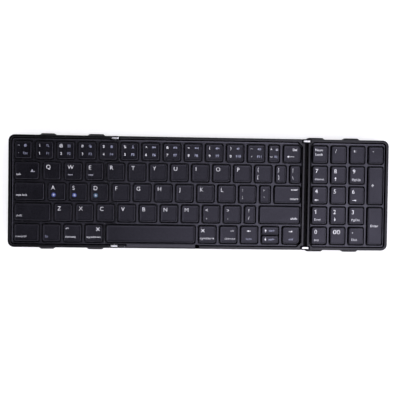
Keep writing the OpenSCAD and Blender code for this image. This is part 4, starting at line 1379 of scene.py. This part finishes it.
def screw_mesh(z0):
    """One screw, head down, with a cross recess. Around the origin in plan."""
    s = Solid()
    lathe_z(s, 0, 0, [(z0 + 0.08, 1.5), (z0 + 0.13, 1.63), (z0 + 0.22, 1.7), (z0 + 0.46, 1.7), (z0 + 0.5, 0.62), (z0 + 0.5001, 0.6), (7.0, 0.6)], 32)
    ob = make("screw", s)
    c = Solid()
    for turned in (False, True):
        a, b = (0.95, 0.17) if not turned else (0.17, 0.95)
        poly = [(-a, -b), (a, -b), (a, b), (-a, b)]
        c.rings([[(x, y, z) for x, y in inset(poly, d)] for z, d in ((z0 - 0.3, 0.0), (z0 + 0.3, 0.0), (z0 + 0.42, 0.1))])
        boolean(ob, make("cutter", c))
        c = Solid()
    data = ([tuple(v.co / MM) for v in ob.data.vertices], [tuple(p.vertices) for p in ob.data.polygons])
    me = ob.data
    bpy.data.objects.remove(ob)
    bpy.data.meshes.remove(me)
    return data


for node, z0, at, body in (("left_screws", SIDE_Z, LEFT_SCREWS, "left_panel"), ("middle_screws", MID_Z, MID_SCREWS, "middle_panel"), ("right_screws", SIDE_Z, PAD_SCREWS, "right_panel")):
    verts, faces = screw_mesh(z0)
    s = Solid()
    for k, (x, y) in enumerate(at):
        w = 0.7 * k + 0.3
        s.add([(fx(x) + vx * math.cos(w) - vy * math.sin(w), fy(y) + vx * math.sin(w) + vy * math.cos(w), vz) for vx, vy, vz in verts], faces)
    ob = make(node.replace("screws", "case_screws"), s)
    finish_mesh(ob, 35)
    place(ob, body, MAT["screw"], [node])

# ------------------------------------------------------------------ inner nodes keep their CAD shape
for node, mat in (("left_key_plate", "plate"), ("middle_key_plate", "plate"), ("right_key_plate", "plate"),
                  ("left_membrane", "membrane"), ("middle_membrane", "membrane"), ("right_membrane", "membrane"),
                  ("main_board", "board"), ("battery", "cell"), ("usb_port", "port"),
                  ("left_hinge_pins", "pin"), ("right_hinge_pins", "pin")):
    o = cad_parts[node]
    o.data.materials.clear()
    o.data.materials.append(MAT[mat])

# ------------------------------------------------------------------ legends
INK_LOW, INK_HIGH = FLAT_Z - 0.015, FLAT_Z + 0.018
legends = {}
node_of_key = {}


def sheet_for(node, ink):
    return legends.setdefault((node, ink), Solid())


def flat_shape(solid, poly):
    poly = ccw([(fx(x), fy(y)) for x, y in poly])
    solid.prism(poly, INK_LOW, INK_HIGH)


def bar(solid, x0, y0, x1, y1):
    flat_shape(solid, [(x0, y0), (x1, y0), (x1, y1), (x0, y1)])


def ring_shape(solid, x, y, r, t, seg=28, a0=0.0, a1=2 * math.pi):
    """A ring or an arc of width t, in plan."""
    full = abs(a1 - a0 - 2 * math.pi) < 1e-6
    n = seg
    outer = [(fx(x) + r * math.cos(a0 + (a1 - a0) * k / n), fy(y) + r * math.sin(a0 + (a1 - a0) * k / n)) for k in range(n + (0 if full else 1))]
    inner = [(fx(x) + (r - t) * math.cos(a0 + (a1 - a0) * k / n), fy(y) + (r - t) * math.sin(a0 + (a1 - a0) * k / n)) for k in range(n + (0 if full else 1))]
    if not full:
        solid.prism(ccw(outer + inner[::-1]), INK_LOW, INK_HIGH)
        return
    m = len(outer)
    base = len(solid.v)
    for z in (INK_LOW, INK_HIGH):
        solid.v.extend([(px, py, z) for px, py in outer])
        solid.v.extend([(px, py, z) for px, py in inner])
    for i in range(m):
        j = (i + 1) % m
        o0, o1, i0, i1 = base + i, base + j, base + m + i, base + m + j
        O0, O1, I0, I1 = o0 + 2 * m, o1 + 2 * m, i0 + 2 * m, i1 + 2 * m
        solid.f += [(o0, o1, O1, O0), (i1, i0, I0, I1), (O0, O1, I1, I0), (o1, o0, i0, i1)]


def disc(solid, x, y, r, seg=28):
    solid.prism([(fx(x) + r * math.cos(2 * math.pi * k / seg), fy(y) + r * math.sin(2 * math.pi * k / seg)) for k in range(seg)], INK_LOW, INK_HIGH)


def stroke(solid, pts, w):
    """A line of width w through plan points, with square ends."""
    for (xa, ya), (xb, yb) in zip(pts, pts[1:]):
        length = math.hypot(xb - xa, yb - ya)
        nx, ny = -(yb - ya) / length * w / 2, (xb - xa) / length * w / 2
        flat_shape(solid, [(xa + nx, ya + ny), (xb + nx, yb + ny), (xb - nx, yb - ny), (xa - nx, ya - ny)])


def arrow(solid, x, y, length, way, w=0.42, head=1.9):
    """An arrow centred on (x, y). way is left, right, up or down."""
    h = length / 2
    pts_bar = [(-h, -w / 2), (h - head - 0.01, -w / 2), (h - head - 0.01, w / 2), (-h, w / 2)]
    pts_head = [(h - head, -head * 0.55), (h, 0), (h - head, head * 0.55)]
    turn = {"right": (1, 0), "left": (-1, 0), "up": (0, -1), "down": (0, 1)}[way]
    for pts in (pts_bar, pts_head):
        flat_shape(solid, [(x + px * turn[0] - py * turn[1], y + px * turn[1] + py * turn[0]) for px, py in pts])


glyph_cache = {}


def glyphs(string, bold):
    """The mesh of a string at a font size of 1, from Blender's own font: (verts, faces)."""
    k = (string, bold)
    if k not in glyph_cache:
        cu = bpy.data.curves.new("t", "FONT")
        cu.body, cu.size, cu.extrude, cu.offset, cu.resolution_u = string, 1.0, 0.01, bold, 6
        ob = bpy.data.objects.new("t", cu)
        scene.collection.objects.link(ob)
        bpy.context.view_layer.update()
        dg = bpy.context.evaluated_depsgraph_get()
        me = bpy.data.meshes.new_from_object(ob.evaluated_get(dg))
        bm = bmesh.new()
        bm.from_mesh(me)
        bmesh.ops.remove_doubles(bm, verts=bm.verts, dist=1e-5)
        bmesh.ops.dissolve_degenerate(bm, edges=bm.edges, dist=1e-5)
        bmesh.ops.recalc_face_normals(bm, faces=bm.faces)
        bm.to_mesh(me)
        bm.free()
        v = [tuple(x.co) for x in me.vertices]
        f = [tuple(p.vertices) for p in me.polygons]
        bpy.data.objects.remove(ob)
        bpy.data.curves.remove(cu)
        bpy.data.meshes.remove(me)
        glyph_cache[k] = (v, f)
    return glyph_cache[k]


_h = glyphs("H", 0.0)[0]
CAP_RATIO = max(v[1] for v in _h) - min(v[1] for v in _h)


def write(node, ink, string, x, y, height, align="left", bold=0.012, width=None, middle=False):
    """string with its baseline at plan y, or centred on y when middle is set. height is a capital's. width stretches it to that many mm."""
    v, f = glyphs(string, bold)
    if not f:
        return
    k = height / CAP_RATIO
    x0, x1 = min(p[0] for p in v), max(p[0] for p in v)
    y0, y1 = min(p[1] for p in v), max(p[1] for p in v)
    kx = k if width is None else width / (x1 - x0)
    w = (x1 - x0) * kx
    left = {"left": x, "centre": x - w / 2, "right": x - w}[align]
    base = y + (y0 + y1) / 2 * k if middle else y
    s = sheet_for(node, ink)
    s.add([(fx(left + (p[0] - x0) * kx), fy(base) + p[1] * k, INK_HIGH if p[2] > 0 else INK_LOW) for p in v], f)


def centre(c):
    return (c[0] + c[2]) / 2, (c[1] + c[3]) / 2


# number row
ROW_TOP = ["~", "!", "@", "#", "$", "%", "^", "&", "*", "(", ")", "_", "+"]
ROW_LOW = ["`", "1", "2", "3", "4", "5", "6", "7", "8", "9", "0", "-", "="]
ROW_FN = ["Esc"] + ["F%d" % k for k in range(1, 13)]


def row_ink(node):
    # on the left panel the blue print is a darker copy of the same blue: painted shade for the dimmer light there
    return "dim_ink" if node.startswith("left") else "blue_ink"


def icon(node, kind, x, y):
    s = sheet_for(node, row_ink(node))
    if kind == "home":
        flat_shape(s, [(x - 1.5, y), (x, y - 1.3), (x + 1.5, y)])
        bar(s, x - 0.95, y + 0.1, x + 0.95, y + 1.2)
    elif kind == "find":
        ring_shape(s, x - 0.3, y - 0.3, 0.95, 0.38)
        stroke(s, [(x + 0.35, y + 0.35), (x + 1.2, y + 1.2)], 0.42)
    elif kind == "grid":
        for dx in (-0.75, 0.75):
            for dy in (-0.7, 0.7):
                bar(s, x + dx - 0.5, y + dy - 0.45, x + dx + 0.5, y + dy + 0.45)
    elif kind == "copy":
        stroke(s, [(x - 1.1, y + 0.5), (x - 1.1, y - 1.1), (x + 0.4, y - 1.1)], 0.34)
        bar(s, x - 0.5, y - 0.5, x + 1.1, y + 1.15)
    elif kind == "paste":
        bar(s, x - 1.0, y - 0.8, x + 1.0, y + 1.2)
        bar(s, x - 0.5, y - 1.3, x + 0.5, y - 0.95)
    elif kind == "cut":
        stroke(s, [(x - 0.9, y + 1.2), (x + 0.35, y - 1.2)], 0.36)
        stroke(s, [(x + 0.9, y + 1.2), (x - 0.35, y - 1.2)], 0.36)
        bar(s, x - 0.5, y + 0.3, x + 0.5, y + 0.6)
    elif kind in ("back", "next"):
        d = -1 if kind == "back" else 1
        for k in (-1.3, 0.1):
            flat_shape(s, [(x + d * k, y - 0.85), (x + d * (k + 1.3), y), (x + d * k, y + 0.85)])
        bar(s, min(x + d * 1.45, x + d * 1.8), y - 0.85, max(x + d * 1.45, x + d * 1.8), y + 0.85)
    elif kind == "play":
        flat_shape(s, [(x - 1.5, y - 0.9), (x, y), (x - 1.5, y + 0.9)])
        bar(s, x + 0.35, y - 0.85, x + 0.75, y + 0.85)
        bar(s, x + 1.1, y - 0.85, x + 1.5, y + 0.85)
    elif kind in ("mute", "lower", "louder"):
        bar(s, x - 1.6, y - 0.45, x - 1.0, y + 0.45)
        flat_shape(s, [(x - 1.0, y - 0.45), (x - 0.1, y - 1.15), (x - 0.1, y + 1.15), (x - 1.0, y + 0.45)])
        if kind == "mute":
            stroke(s, [(x + 0.4, y - 0.55), (x + 1.5, y + 0.55)], 0.3)
            stroke(s, [(x + 0.4, y + 0.55), (x + 1.5, y - 0.55)], 0.3)
        else:
            ring_shape(s, x - 0.1, y, 0.95, 0.3, 10, -0.9, 0.9)
            if kind == "louder":
                ring_shape(s, x - 0.1, y, 1.55, 0.3, 12, -0.9, 0.9)
    elif kind == "lock":
        s = sheet_for(node, "grey_ink")
        bar(s, x - 0.95, y - 0.1, x + 0.95, y + 1.2)
        ring_shape(s, x, y - 0.15, 0.72, 0.3, 12, 0.0, math.pi)


ICONS = ["home", "find", "grid", "copy", "paste", "cut", "back", "play", "next", "mute", "lower", "louder"]
number_cells = [("left_number_keys", c) for c in KEYS["left_number_keys"]] + [("middle_number_keys", c) for c in KEYS["middle_number_keys"]]
for k, (node, c) in enumerate(number_cells):
    xc, yc = centre(c)
    left_x, right_x = (xc - 4.0, xc + 3.0) if k else (9.1, 14.9)
    if k == 12:
        left_x, right_x = 234.0, 239.0
    # the number row's print is darker on the left panel's keys and greyest on the leftmost: painted shade following the
    # light's fall-off to the left
    tone = "grey_ink" if k == 0 else "soft_ink" if k < 5 else "ink"
    write(node, tone, ROW_TOP[k], left_x, yc - 4.0, 2.3, "centre", 0.004, middle=True)
    write(node, tone, ROW_LOW[k], left_x, yc + 2.85, 2.3, "centre", 0.004, middle=True)
    if k == 1:
        flat_shape(sheet_for(node, tone), [(left_x - 0.19, yc + 1.72), (left_x - 0.19, yc + 2.08),
                                           (left_x - 0.56, yc + 2.38), (left_x - 0.72, yc + 2.15)])
    if k == 12:
        icon(node, "lock", right_x, yc - 3.9)
        write(node, "blue_ink", ROW_FN[k], right_x - 0.1, yc + 2.85, 1.9, "centre", 0.012, width=3.6, middle=True)
    else:
        icon(node, ICONS[k], right_x, yc - 3.9)
        write(node, row_ink(node), ROW_FN[k], right_x, yc + 2.85, 2.1, "centre", 0.012, middle=True)

x, y = centre(KEYS["backspace_key"][0])
write("backspace_key", "ink", "Del", 255.3, 9.8, 1.9, "centre", 0.012, middle=True)
arrow(sheet_for("backspace_key", "ink"), 251.4, 16.0, 6.6, "left", 0.34, 1.9)

# letters: capital height 3.5, near the cap's back left corner
LETTERS = {"left_upper_keys": "QWE", "left_home_keys": "ASD", "left_lower_keys": "ZXC",
           "middle_upper_keys": "RTYUIOP", "middle_home_keys": "FGHJKL", "middle_lower_keys": "VBNM"}
for node, letters in LETTERS.items():
    for c, ch in zip(KEYS[node], letters):
        write(node, "ink", ch, c[0] + 0.5 + (2.7 if ch != "I" else 3.4), row_y(0) + (c[1] + 8 - row_y(0)) - 1.75, 3.5, "left", -0.012)

# keys with two marks, one above the other
PAIRS = [("middle_upper_keys", 7, "{", "[", 222.3), ("middle_upper_keys", 8, "}", "]", 240.8), ("middle_upper_keys", 9, "|", "\\", 253.8),
         ("middle_home_keys", 6, ":", ";", 208.5), ("middle_home_keys", 7, "\"", "'", 228.0),
         ("middle_lower_keys", 4, "<", ",", 176.5), ("middle_lower_keys", 5, ">", ".", 195.6), ("middle_lower_keys", 6, "?", "/", 214.5)]
for node, k, up, low, x in PAIRS:
    c = KEYS[node][k]
    yc = (c[1] + c[3]) / 2
    tone = "soft_ink" if up in "{}|" else "ink"
    write(node, tone, up, x, yc - 3.6, 3.0 if up in "<>?{}|" else 2.8, "centre", -0.006, middle=True)
    dy = {",": 4.2, ".": 4.2, "'": 2.6, ";": 3.3}.get(low, 3.1)
    write(node, tone, low, x, yc + dy, 2.9, "centre", -0.004, middle=True)

# small extra marks under two letters, and round marks under three
for k, x in ((1, 54.7), (2, 72.9)):
    s = sheet_for("left_upper_keys", "grey_ink")
    y = 35.1
    for j in range(4):
        bar(s, x - 2.0 + j * 1.1, y - 0.45, x - 1.35 + j * 1.1, y + 0.45)
for k, (x, ink) in enumerate(((40.1, "dot_ink"), (58.5, "dot_ink"), (77.3, "teal_ink"))):
    ring_shape(sheet_for("left_home_keys", ink), x, 53.2, 1.85, 0.75)
    disc(sheet_for("left_home_keys", "pale_ink"), x, 53.2, 0.9)

# words
# most words on the left panel take the softer ink, which is painted shade for the dimmer light there
write("tab_key", "soft_ink", "tab", 7.2, 36.0, 1.75, "left", 0.0, width=3.9)
s = sheet_for("tab_key", "grey_ink")
flat_shape(s, [(19.6, 33.1), (21.0, 30.7), (22.4, 33.1)])
bar(s, 22.2, 32.5, 23.4, 33.1)
write("caps_lock_key", "soft_ink", "caps lock", 7.1, 54.3, 1.75, "left", 0.0, width=9.7)
write("left_shift_key", "soft_ink", "shift", 7.2, 72.7, 1.85, "left", -0.012, width=5.3)
write("left_bottom_keys", "soft_ink", "control", 7.1, 91.1, 1.85, "left", -0.008, width=9.2)
write("left_bottom_keys", "dim_ink", "fn", 33.0, 91.2, 2.0, "left", 0.006, width=2.4)
write("left_bottom_keys", "soft_ink", "alt", 51.0, 83.4, 1.5, "left", -0.006, width=3.0)
write("left_bottom_keys", "soft_ink", "alternate", 50.4, 91.1, 1.6, "left", 0.0, width=9.4)


def mark(node, x, y):
    """A plain mark for the system key: four short diagonal strokes round a dot."""
    # on the left panel the mark takes the softer ink: painted shade, as the light falls off to the left
    s = sheet_for(node, "soft_ink" if node.startswith("left") else "ink")
    for a, b in ((-1, -1), (1, -1), (-1, 1), (1, 1)):
        stroke(s, [(x + a * 0.35, y + b * 0.35), (x + a * 1.45, y + b * 1.45)], 0.5)
    disc(s, x, y, 0.6, 16)


mark("left_bottom_keys", 79.6, 83.3)
write("left_bottom_keys", "ink", "system", 69.6, 91.1, 1.8, "left", -0.008, width=12.2)
mark("middle_bottom_keys", 173.3, 83.5)
write("middle_bottom_keys", "ink", "system", 171.0, 91.2, 1.8, "left", -0.006, width=12.2)
write("middle_bottom_keys", "ink", "alt", 198.4, 84.2, 1.5, "left", -0.004, width=3.0)
write("middle_bottom_keys", "ink", "alternate", 193.0, 91.2, 1.6, "left", -0.008, width=9.2)
s = sheet_for("middle_bottom_keys", "ink")
arrow(s, 214.7, 83.5, 3.6, "left", 0.42, 1.7)
write("middle_bottom_keys", "blue_ink", "home", 214.9, 90.5, 1.7, "centre", 0.004, width=5.0, middle=True)
arrow(s, 229.9, 83.0, 2.9, "up", 0.42, 1.7)
write("middle_bottom_keys", "blue_ink", "pgup", 235.5, 83.1, 1.6, "centre", 0.004, width=4.8, middle=True)
arrow(s, 229.9, 90.8, 2.9, "down", 0.42, 1.7)
write("middle_bottom_keys", "blue_ink", "pgdn", 235.3, 90.8, 1.6, "centre", 0.004, width=4.8, middle=True)
arrow(s, 252.8, 83.5, 3.6, "right", 0.42, 1.7)
write("middle_bottom_keys", "blue_ink", "end", 252.8, 90.5, 1.7, "centre", 0.004, width=3.8, middle=True)
write("enter_key", "ink", "enter", 258.7, 46.5, 1.8, "right", 0.008, width=6.2)
write("enter_key", "ink", "return", 258.9, 54.8, 1.8, "right", 0.008, width=7.2)
write("right_shift_key", "ink", "shift", 258.3, 72.8, 1.95, "right", 0.006, width=6.0)

# numeric pad
write("pad_top_keys", "ink", "Num", 274.0, 10.6, 2.1, "left", 0.0, width=6.6)
write("pad_top_keys", "ink", "Lock", 274.0, 14.6, 2.1, "left", 0.0, width=6.9)
write("pad_top_keys", "ink", "/", 292.6, 10.3, 2.8, "centre", 0.0, middle=True)
write("pad_top_keys", "ink", "*", 309.6, 10.3, 3.4, "centre", 0.0, middle=True)
write("pad_top_keys", "ink", "-", 326.9, 10.3, 3.0, "centre", 0.0, middle=True)
for k, (big, low) in enumerate((("7", "Home"), ("8", "up"), ("9", "PgUp"))):
    x = 274.4 + PAD_PITCH * k
    write("pad_789_keys", "ink", big, x, 30.3, 3.6, "left", 0.0)
    if low == "up":
        arrow(sheet_for("pad_789_keys", "ink"), 292.7, 35.3, 3.4, "up", 0.42, 1.7)
    else:
        write("pad_789_keys", "soft_ink", low, x - 0.3, 36.8, 1.9, "left", 0.0, width=8.0 if k == 0 else 7.6)
for k, (big, low) in enumerate((("4", "left"), ("5", ""), ("6", "right"))):
    x = 274.2 + PAD_PITCH * k
    write("pad_456_keys", "ink", big, x, 48.6, 3.6, "left", 0.0)
    if low:
        arrow(sheet_for("pad_456_keys", "ink"), 275.7 if k == 0 else 310.4, 54.7, 3.8, low, 0.42, 1.7)
for k, (big, low) in enumerate((("1", "End"), ("2", "down"), ("3", "PgDn"))):
    x = 274.3 + PAD_PITCH * k
    write("pad_123_keys", "ink", big, x + (0.7 if k == 0 else 0), 67.1, 3.6, "left", 0.0)
    if k == 0:
        flat_shape(sheet_for("pad_123_keys", "ink"), [(x + 0.69, 63.58), (x + 0.69, 64.14), (x + 0.08, 64.64), (x - 0.18, 64.28)])
    if low == "down":
        arrow(sheet_for("pad_123_keys", "ink"), 292.7, 72.1, 3.4, "down", 0.42, 1.7)
    else:
        write("pad_123_keys", "soft_ink", low, x - 0.2, 73.3, 1.9, "left", 0.0, width=5.4 if k == 0 else 7.6)
write("pad_0_keys", "ink", "0", 274.3, 85.3, 3.6, "left", 0.0)
write("pad_0_keys", "soft_ink", "Ins", 274.3, 91.8, 1.9, "left", 0.0, width=4.0)
write("pad_0_keys", "ink", "00", 291.2, 85.3, 3.6, "left", 0.0, width=6.6)
disc(sheet_for("pad_0_keys", "ink"), 309.2, 84.0, 0.4, 14)
write("pad_0_keys", "soft_ink", "Del", 308.3, 91.3, 1.9, "left", 0.0, width=4.8)
s = sheet_for("pad_tall_keys", "ink")
bar(s, 325.5, 40.65, 328.1, 41.1)
bar(s, 326.58, 39.55, 327.02, 42.2)
write("pad_tall_keys", "ink", "Enter", 325.3, 78.6, 2.1, "left", 0.0, width=7.3)

for (node, ink), s in legends.items():
    ob = make(node.replace("_keys", "").replace("_key", "") + "_" + ink.replace("_ink", "").replace("ink", "white") + "_print", s)
    ob.data.polygons.foreach_set("use_smooth", [False] * len(ob.data.polygons))
    place(ob, node, MAT[ink])

# ------------------------------------------------------------------ stage, light, camera
PANEL_0, PANEL_X, PANEL_Y, PANEL_XY, PANEL_MAX = 0.52, 9.2, -7.3, 22.0, 6.4
BAND_0, BAND_X, BAND_Y = 3.1, 1.6, -0.9
FLOOR_GLOW = 0.66


def stage_material():
    m, t, b = nodes_of("pale_floor")
    cloud = noise(t, 3.0, 2.0, 0.5)
    t.links.new(mixed(t, ranged(t, cloud.outputs["Fac"], 0.3, 0.7, 0.0, 1.0), (0.56, 0.56, 0.562), (0.54, 0.54, 0.542)), b.inputs["Base Color"])
    b.inputs["Roughness"].default_value = 0.9
    b.inputs["Specular IOR Level"].default_value = 0.1
    b.inputs["Emission Color"].default_value = (1.0, 1.0, 1.0, 1.0)
    # open floor glows a little, so that it stays clean and pale; covered floor doesn't
    ao = t.nodes.new("ShaderNodeAmbientOcclusion")
    ao.samples = 6
    ao.inputs["Distance"].default_value = 0.03
    t.links.new(ranged(t, ao.outputs["AO"], 0.12, 0.42, 0.0, FLOOR_GLOW), b.inputs["Emission Strength"])
    out = [n for n in t.nodes if n.type == "OUTPUT_MATERIAL"][0]
    mix = t.nodes.new("ShaderNodeMixShader")
    clear = t.nodes.new("ShaderNodeBsdfTransparent")
    geo = t.nodes.new("ShaderNodeNewGeometry")
    t.links.new(geo.outputs["Backfacing"], mix.inputs["Fac"])
    t.links.new(b.outputs["BSDF"], mix.inputs[1])
    t.links.new(clear.outputs["BSDF"], mix.inputs[2])
    t.links.new(mix.outputs["Shader"], out.inputs["Surface"])
    return m


me = bpy.data.meshes.new("floor")
me.from_pydata([(-9, -9, -0.00002), (9, -9, -0.00002), (9, 9, -0.00002), (-9, 9, -0.00002)], [], [(0, 1, 2, 3)])
floor = bpy.data.objects.new("floor", me)
scene.collection.objects.link(floor)
floor.data.materials.append(stage_material())

world = bpy.data.worlds.new("studio")
scene.world = world
world.use_nodes = True
t = world.node_tree
t.nodes.clear()
out = t.nodes.new("ShaderNodeOutputWorld")
bg = t.nodes.new("ShaderNodeBackground")
co = t.nodes.new("ShaderNodeTexCoord")
sep = t.nodes.new("ShaderNodeSeparateXYZ")
t.links.new(co.outputs["Generated"], sep.inputs[0])
dx, dy, dz = sep.outputs
up = math_node(t, "MAXIMUM", dz, 0.05)
# overhead: a broad panel that brightens to the right and to the front
slope_x, slope_y = math_node(t, "DIVIDE", dx, up), math_node(t, "DIVIDE", dy, up)
panel = math_node(t, "ADD", math_node(t, "MULTIPLY", slope_x, PANEL_X), math_node(t, "MULTIPLY", slope_y, PANEL_Y))
panel = math_node(t, "MINIMUM", math_node(t, "MAXIMUM", math_node(t, "ADD", panel, PANEL_0), 0.0), PANEL_MAX)
# and a little more in the front right
front = math_node(t, "MAXIMUM", math_node(t, "SUBTRACT", math_node(t, "MULTIPLY", slope_y, -1.0), 0.02), 0.0)
right = math_node(t, "MAXIMUM", math_node(t, "ADD", slope_x, 0.15), 0.0)
panel = math_node(t, "ADD", panel, math_node(t, "MULTIPLY", math_node(t, "MULTIPLY", front, right), PANEL_XY))
panel = math_node(t, "MULTIPLY", panel, ranged(t, dz, 0.91, 0.958, 0.0, 1.0))
# a bright band round the horizon, strongest in front and to the right
band = ranged(t, dz, 0.62, 0.42, 0.0, 1.0)
side = math_node(t, "ADD", math_node(t, "MULTIPLY", dx, BAND_X), math_node(t, "MULTIPLY", dy, BAND_Y))
band = math_node(t, "MULTIPLY", band, math_node(t, "MAXIMUM", math_node(t, "ADD", side, BAND_0), 0.1))
total = math_node(t, "ADD", panel, band)
tint = t.nodes.new("ShaderNodeVectorMath")
tint.operation = "SCALE"
tint.inputs[0].default_value = (0.975, 0.96, 1.06)
t.links.new(total, tint.inputs["Scale"])
t.links.new(tint.outputs["Vector"], bg.inputs["Color"])
t.links.new(bg.outputs["Background"], out.inputs["Surface"])
bg.inputs["Strength"].default_value = 1.0


def softbox(name, at, aim, size, power, colour=(1, 1, 1)):
    light = bpy.data.lights.new(name, "AREA")
    light.shape, light.size, light.size_y = "RECTANGLE", size[0], size[1]
    light.energy, light.color = power, colour
    ob = bpy.data.objects.new(name, light)
    scene.collection.objects.link(ob)
    ob.location = at
    ob.rotation_euler = (Vector(aim) - Vector(at)).to_track_quat("-Z", "Y").to_euler()
    return ob


softbox("right_softbox", (1.25, -0.55, 0.75), (0.0, 0.0, 0.0), (0.6, 1.0), 3.0, (0.98, 0.97, 1.0))
softbox("front_softbox", (-0.1, -1.45, 0.75), (0.0, 0.0, 0.0), (1.6, 0.5), 2.0)

cam_data = bpy.data.cameras.new("camera")
cam = bpy.data.objects.new("camera", cam_data)
scene.collection.objects.link(cam)
cam_data.sensor_width, cam_data.lens = 36.0, 70.213
cam.location = (-0.03556, 0.01011, 0.70807)
cam.rotation_euler = (math.radians(-1.3673), math.radians(-2.8823), math.radians(0.8312))
cam_data.clip_start, cam_data.clip_end = 0.01, 30.0
scene.camera = cam
scene.view_settings.view_transform = "Standard"
scene.view_settings.look = "None"
scene.view_settings.exposure = 0.0
scene.view_settings.gamma = 1.0
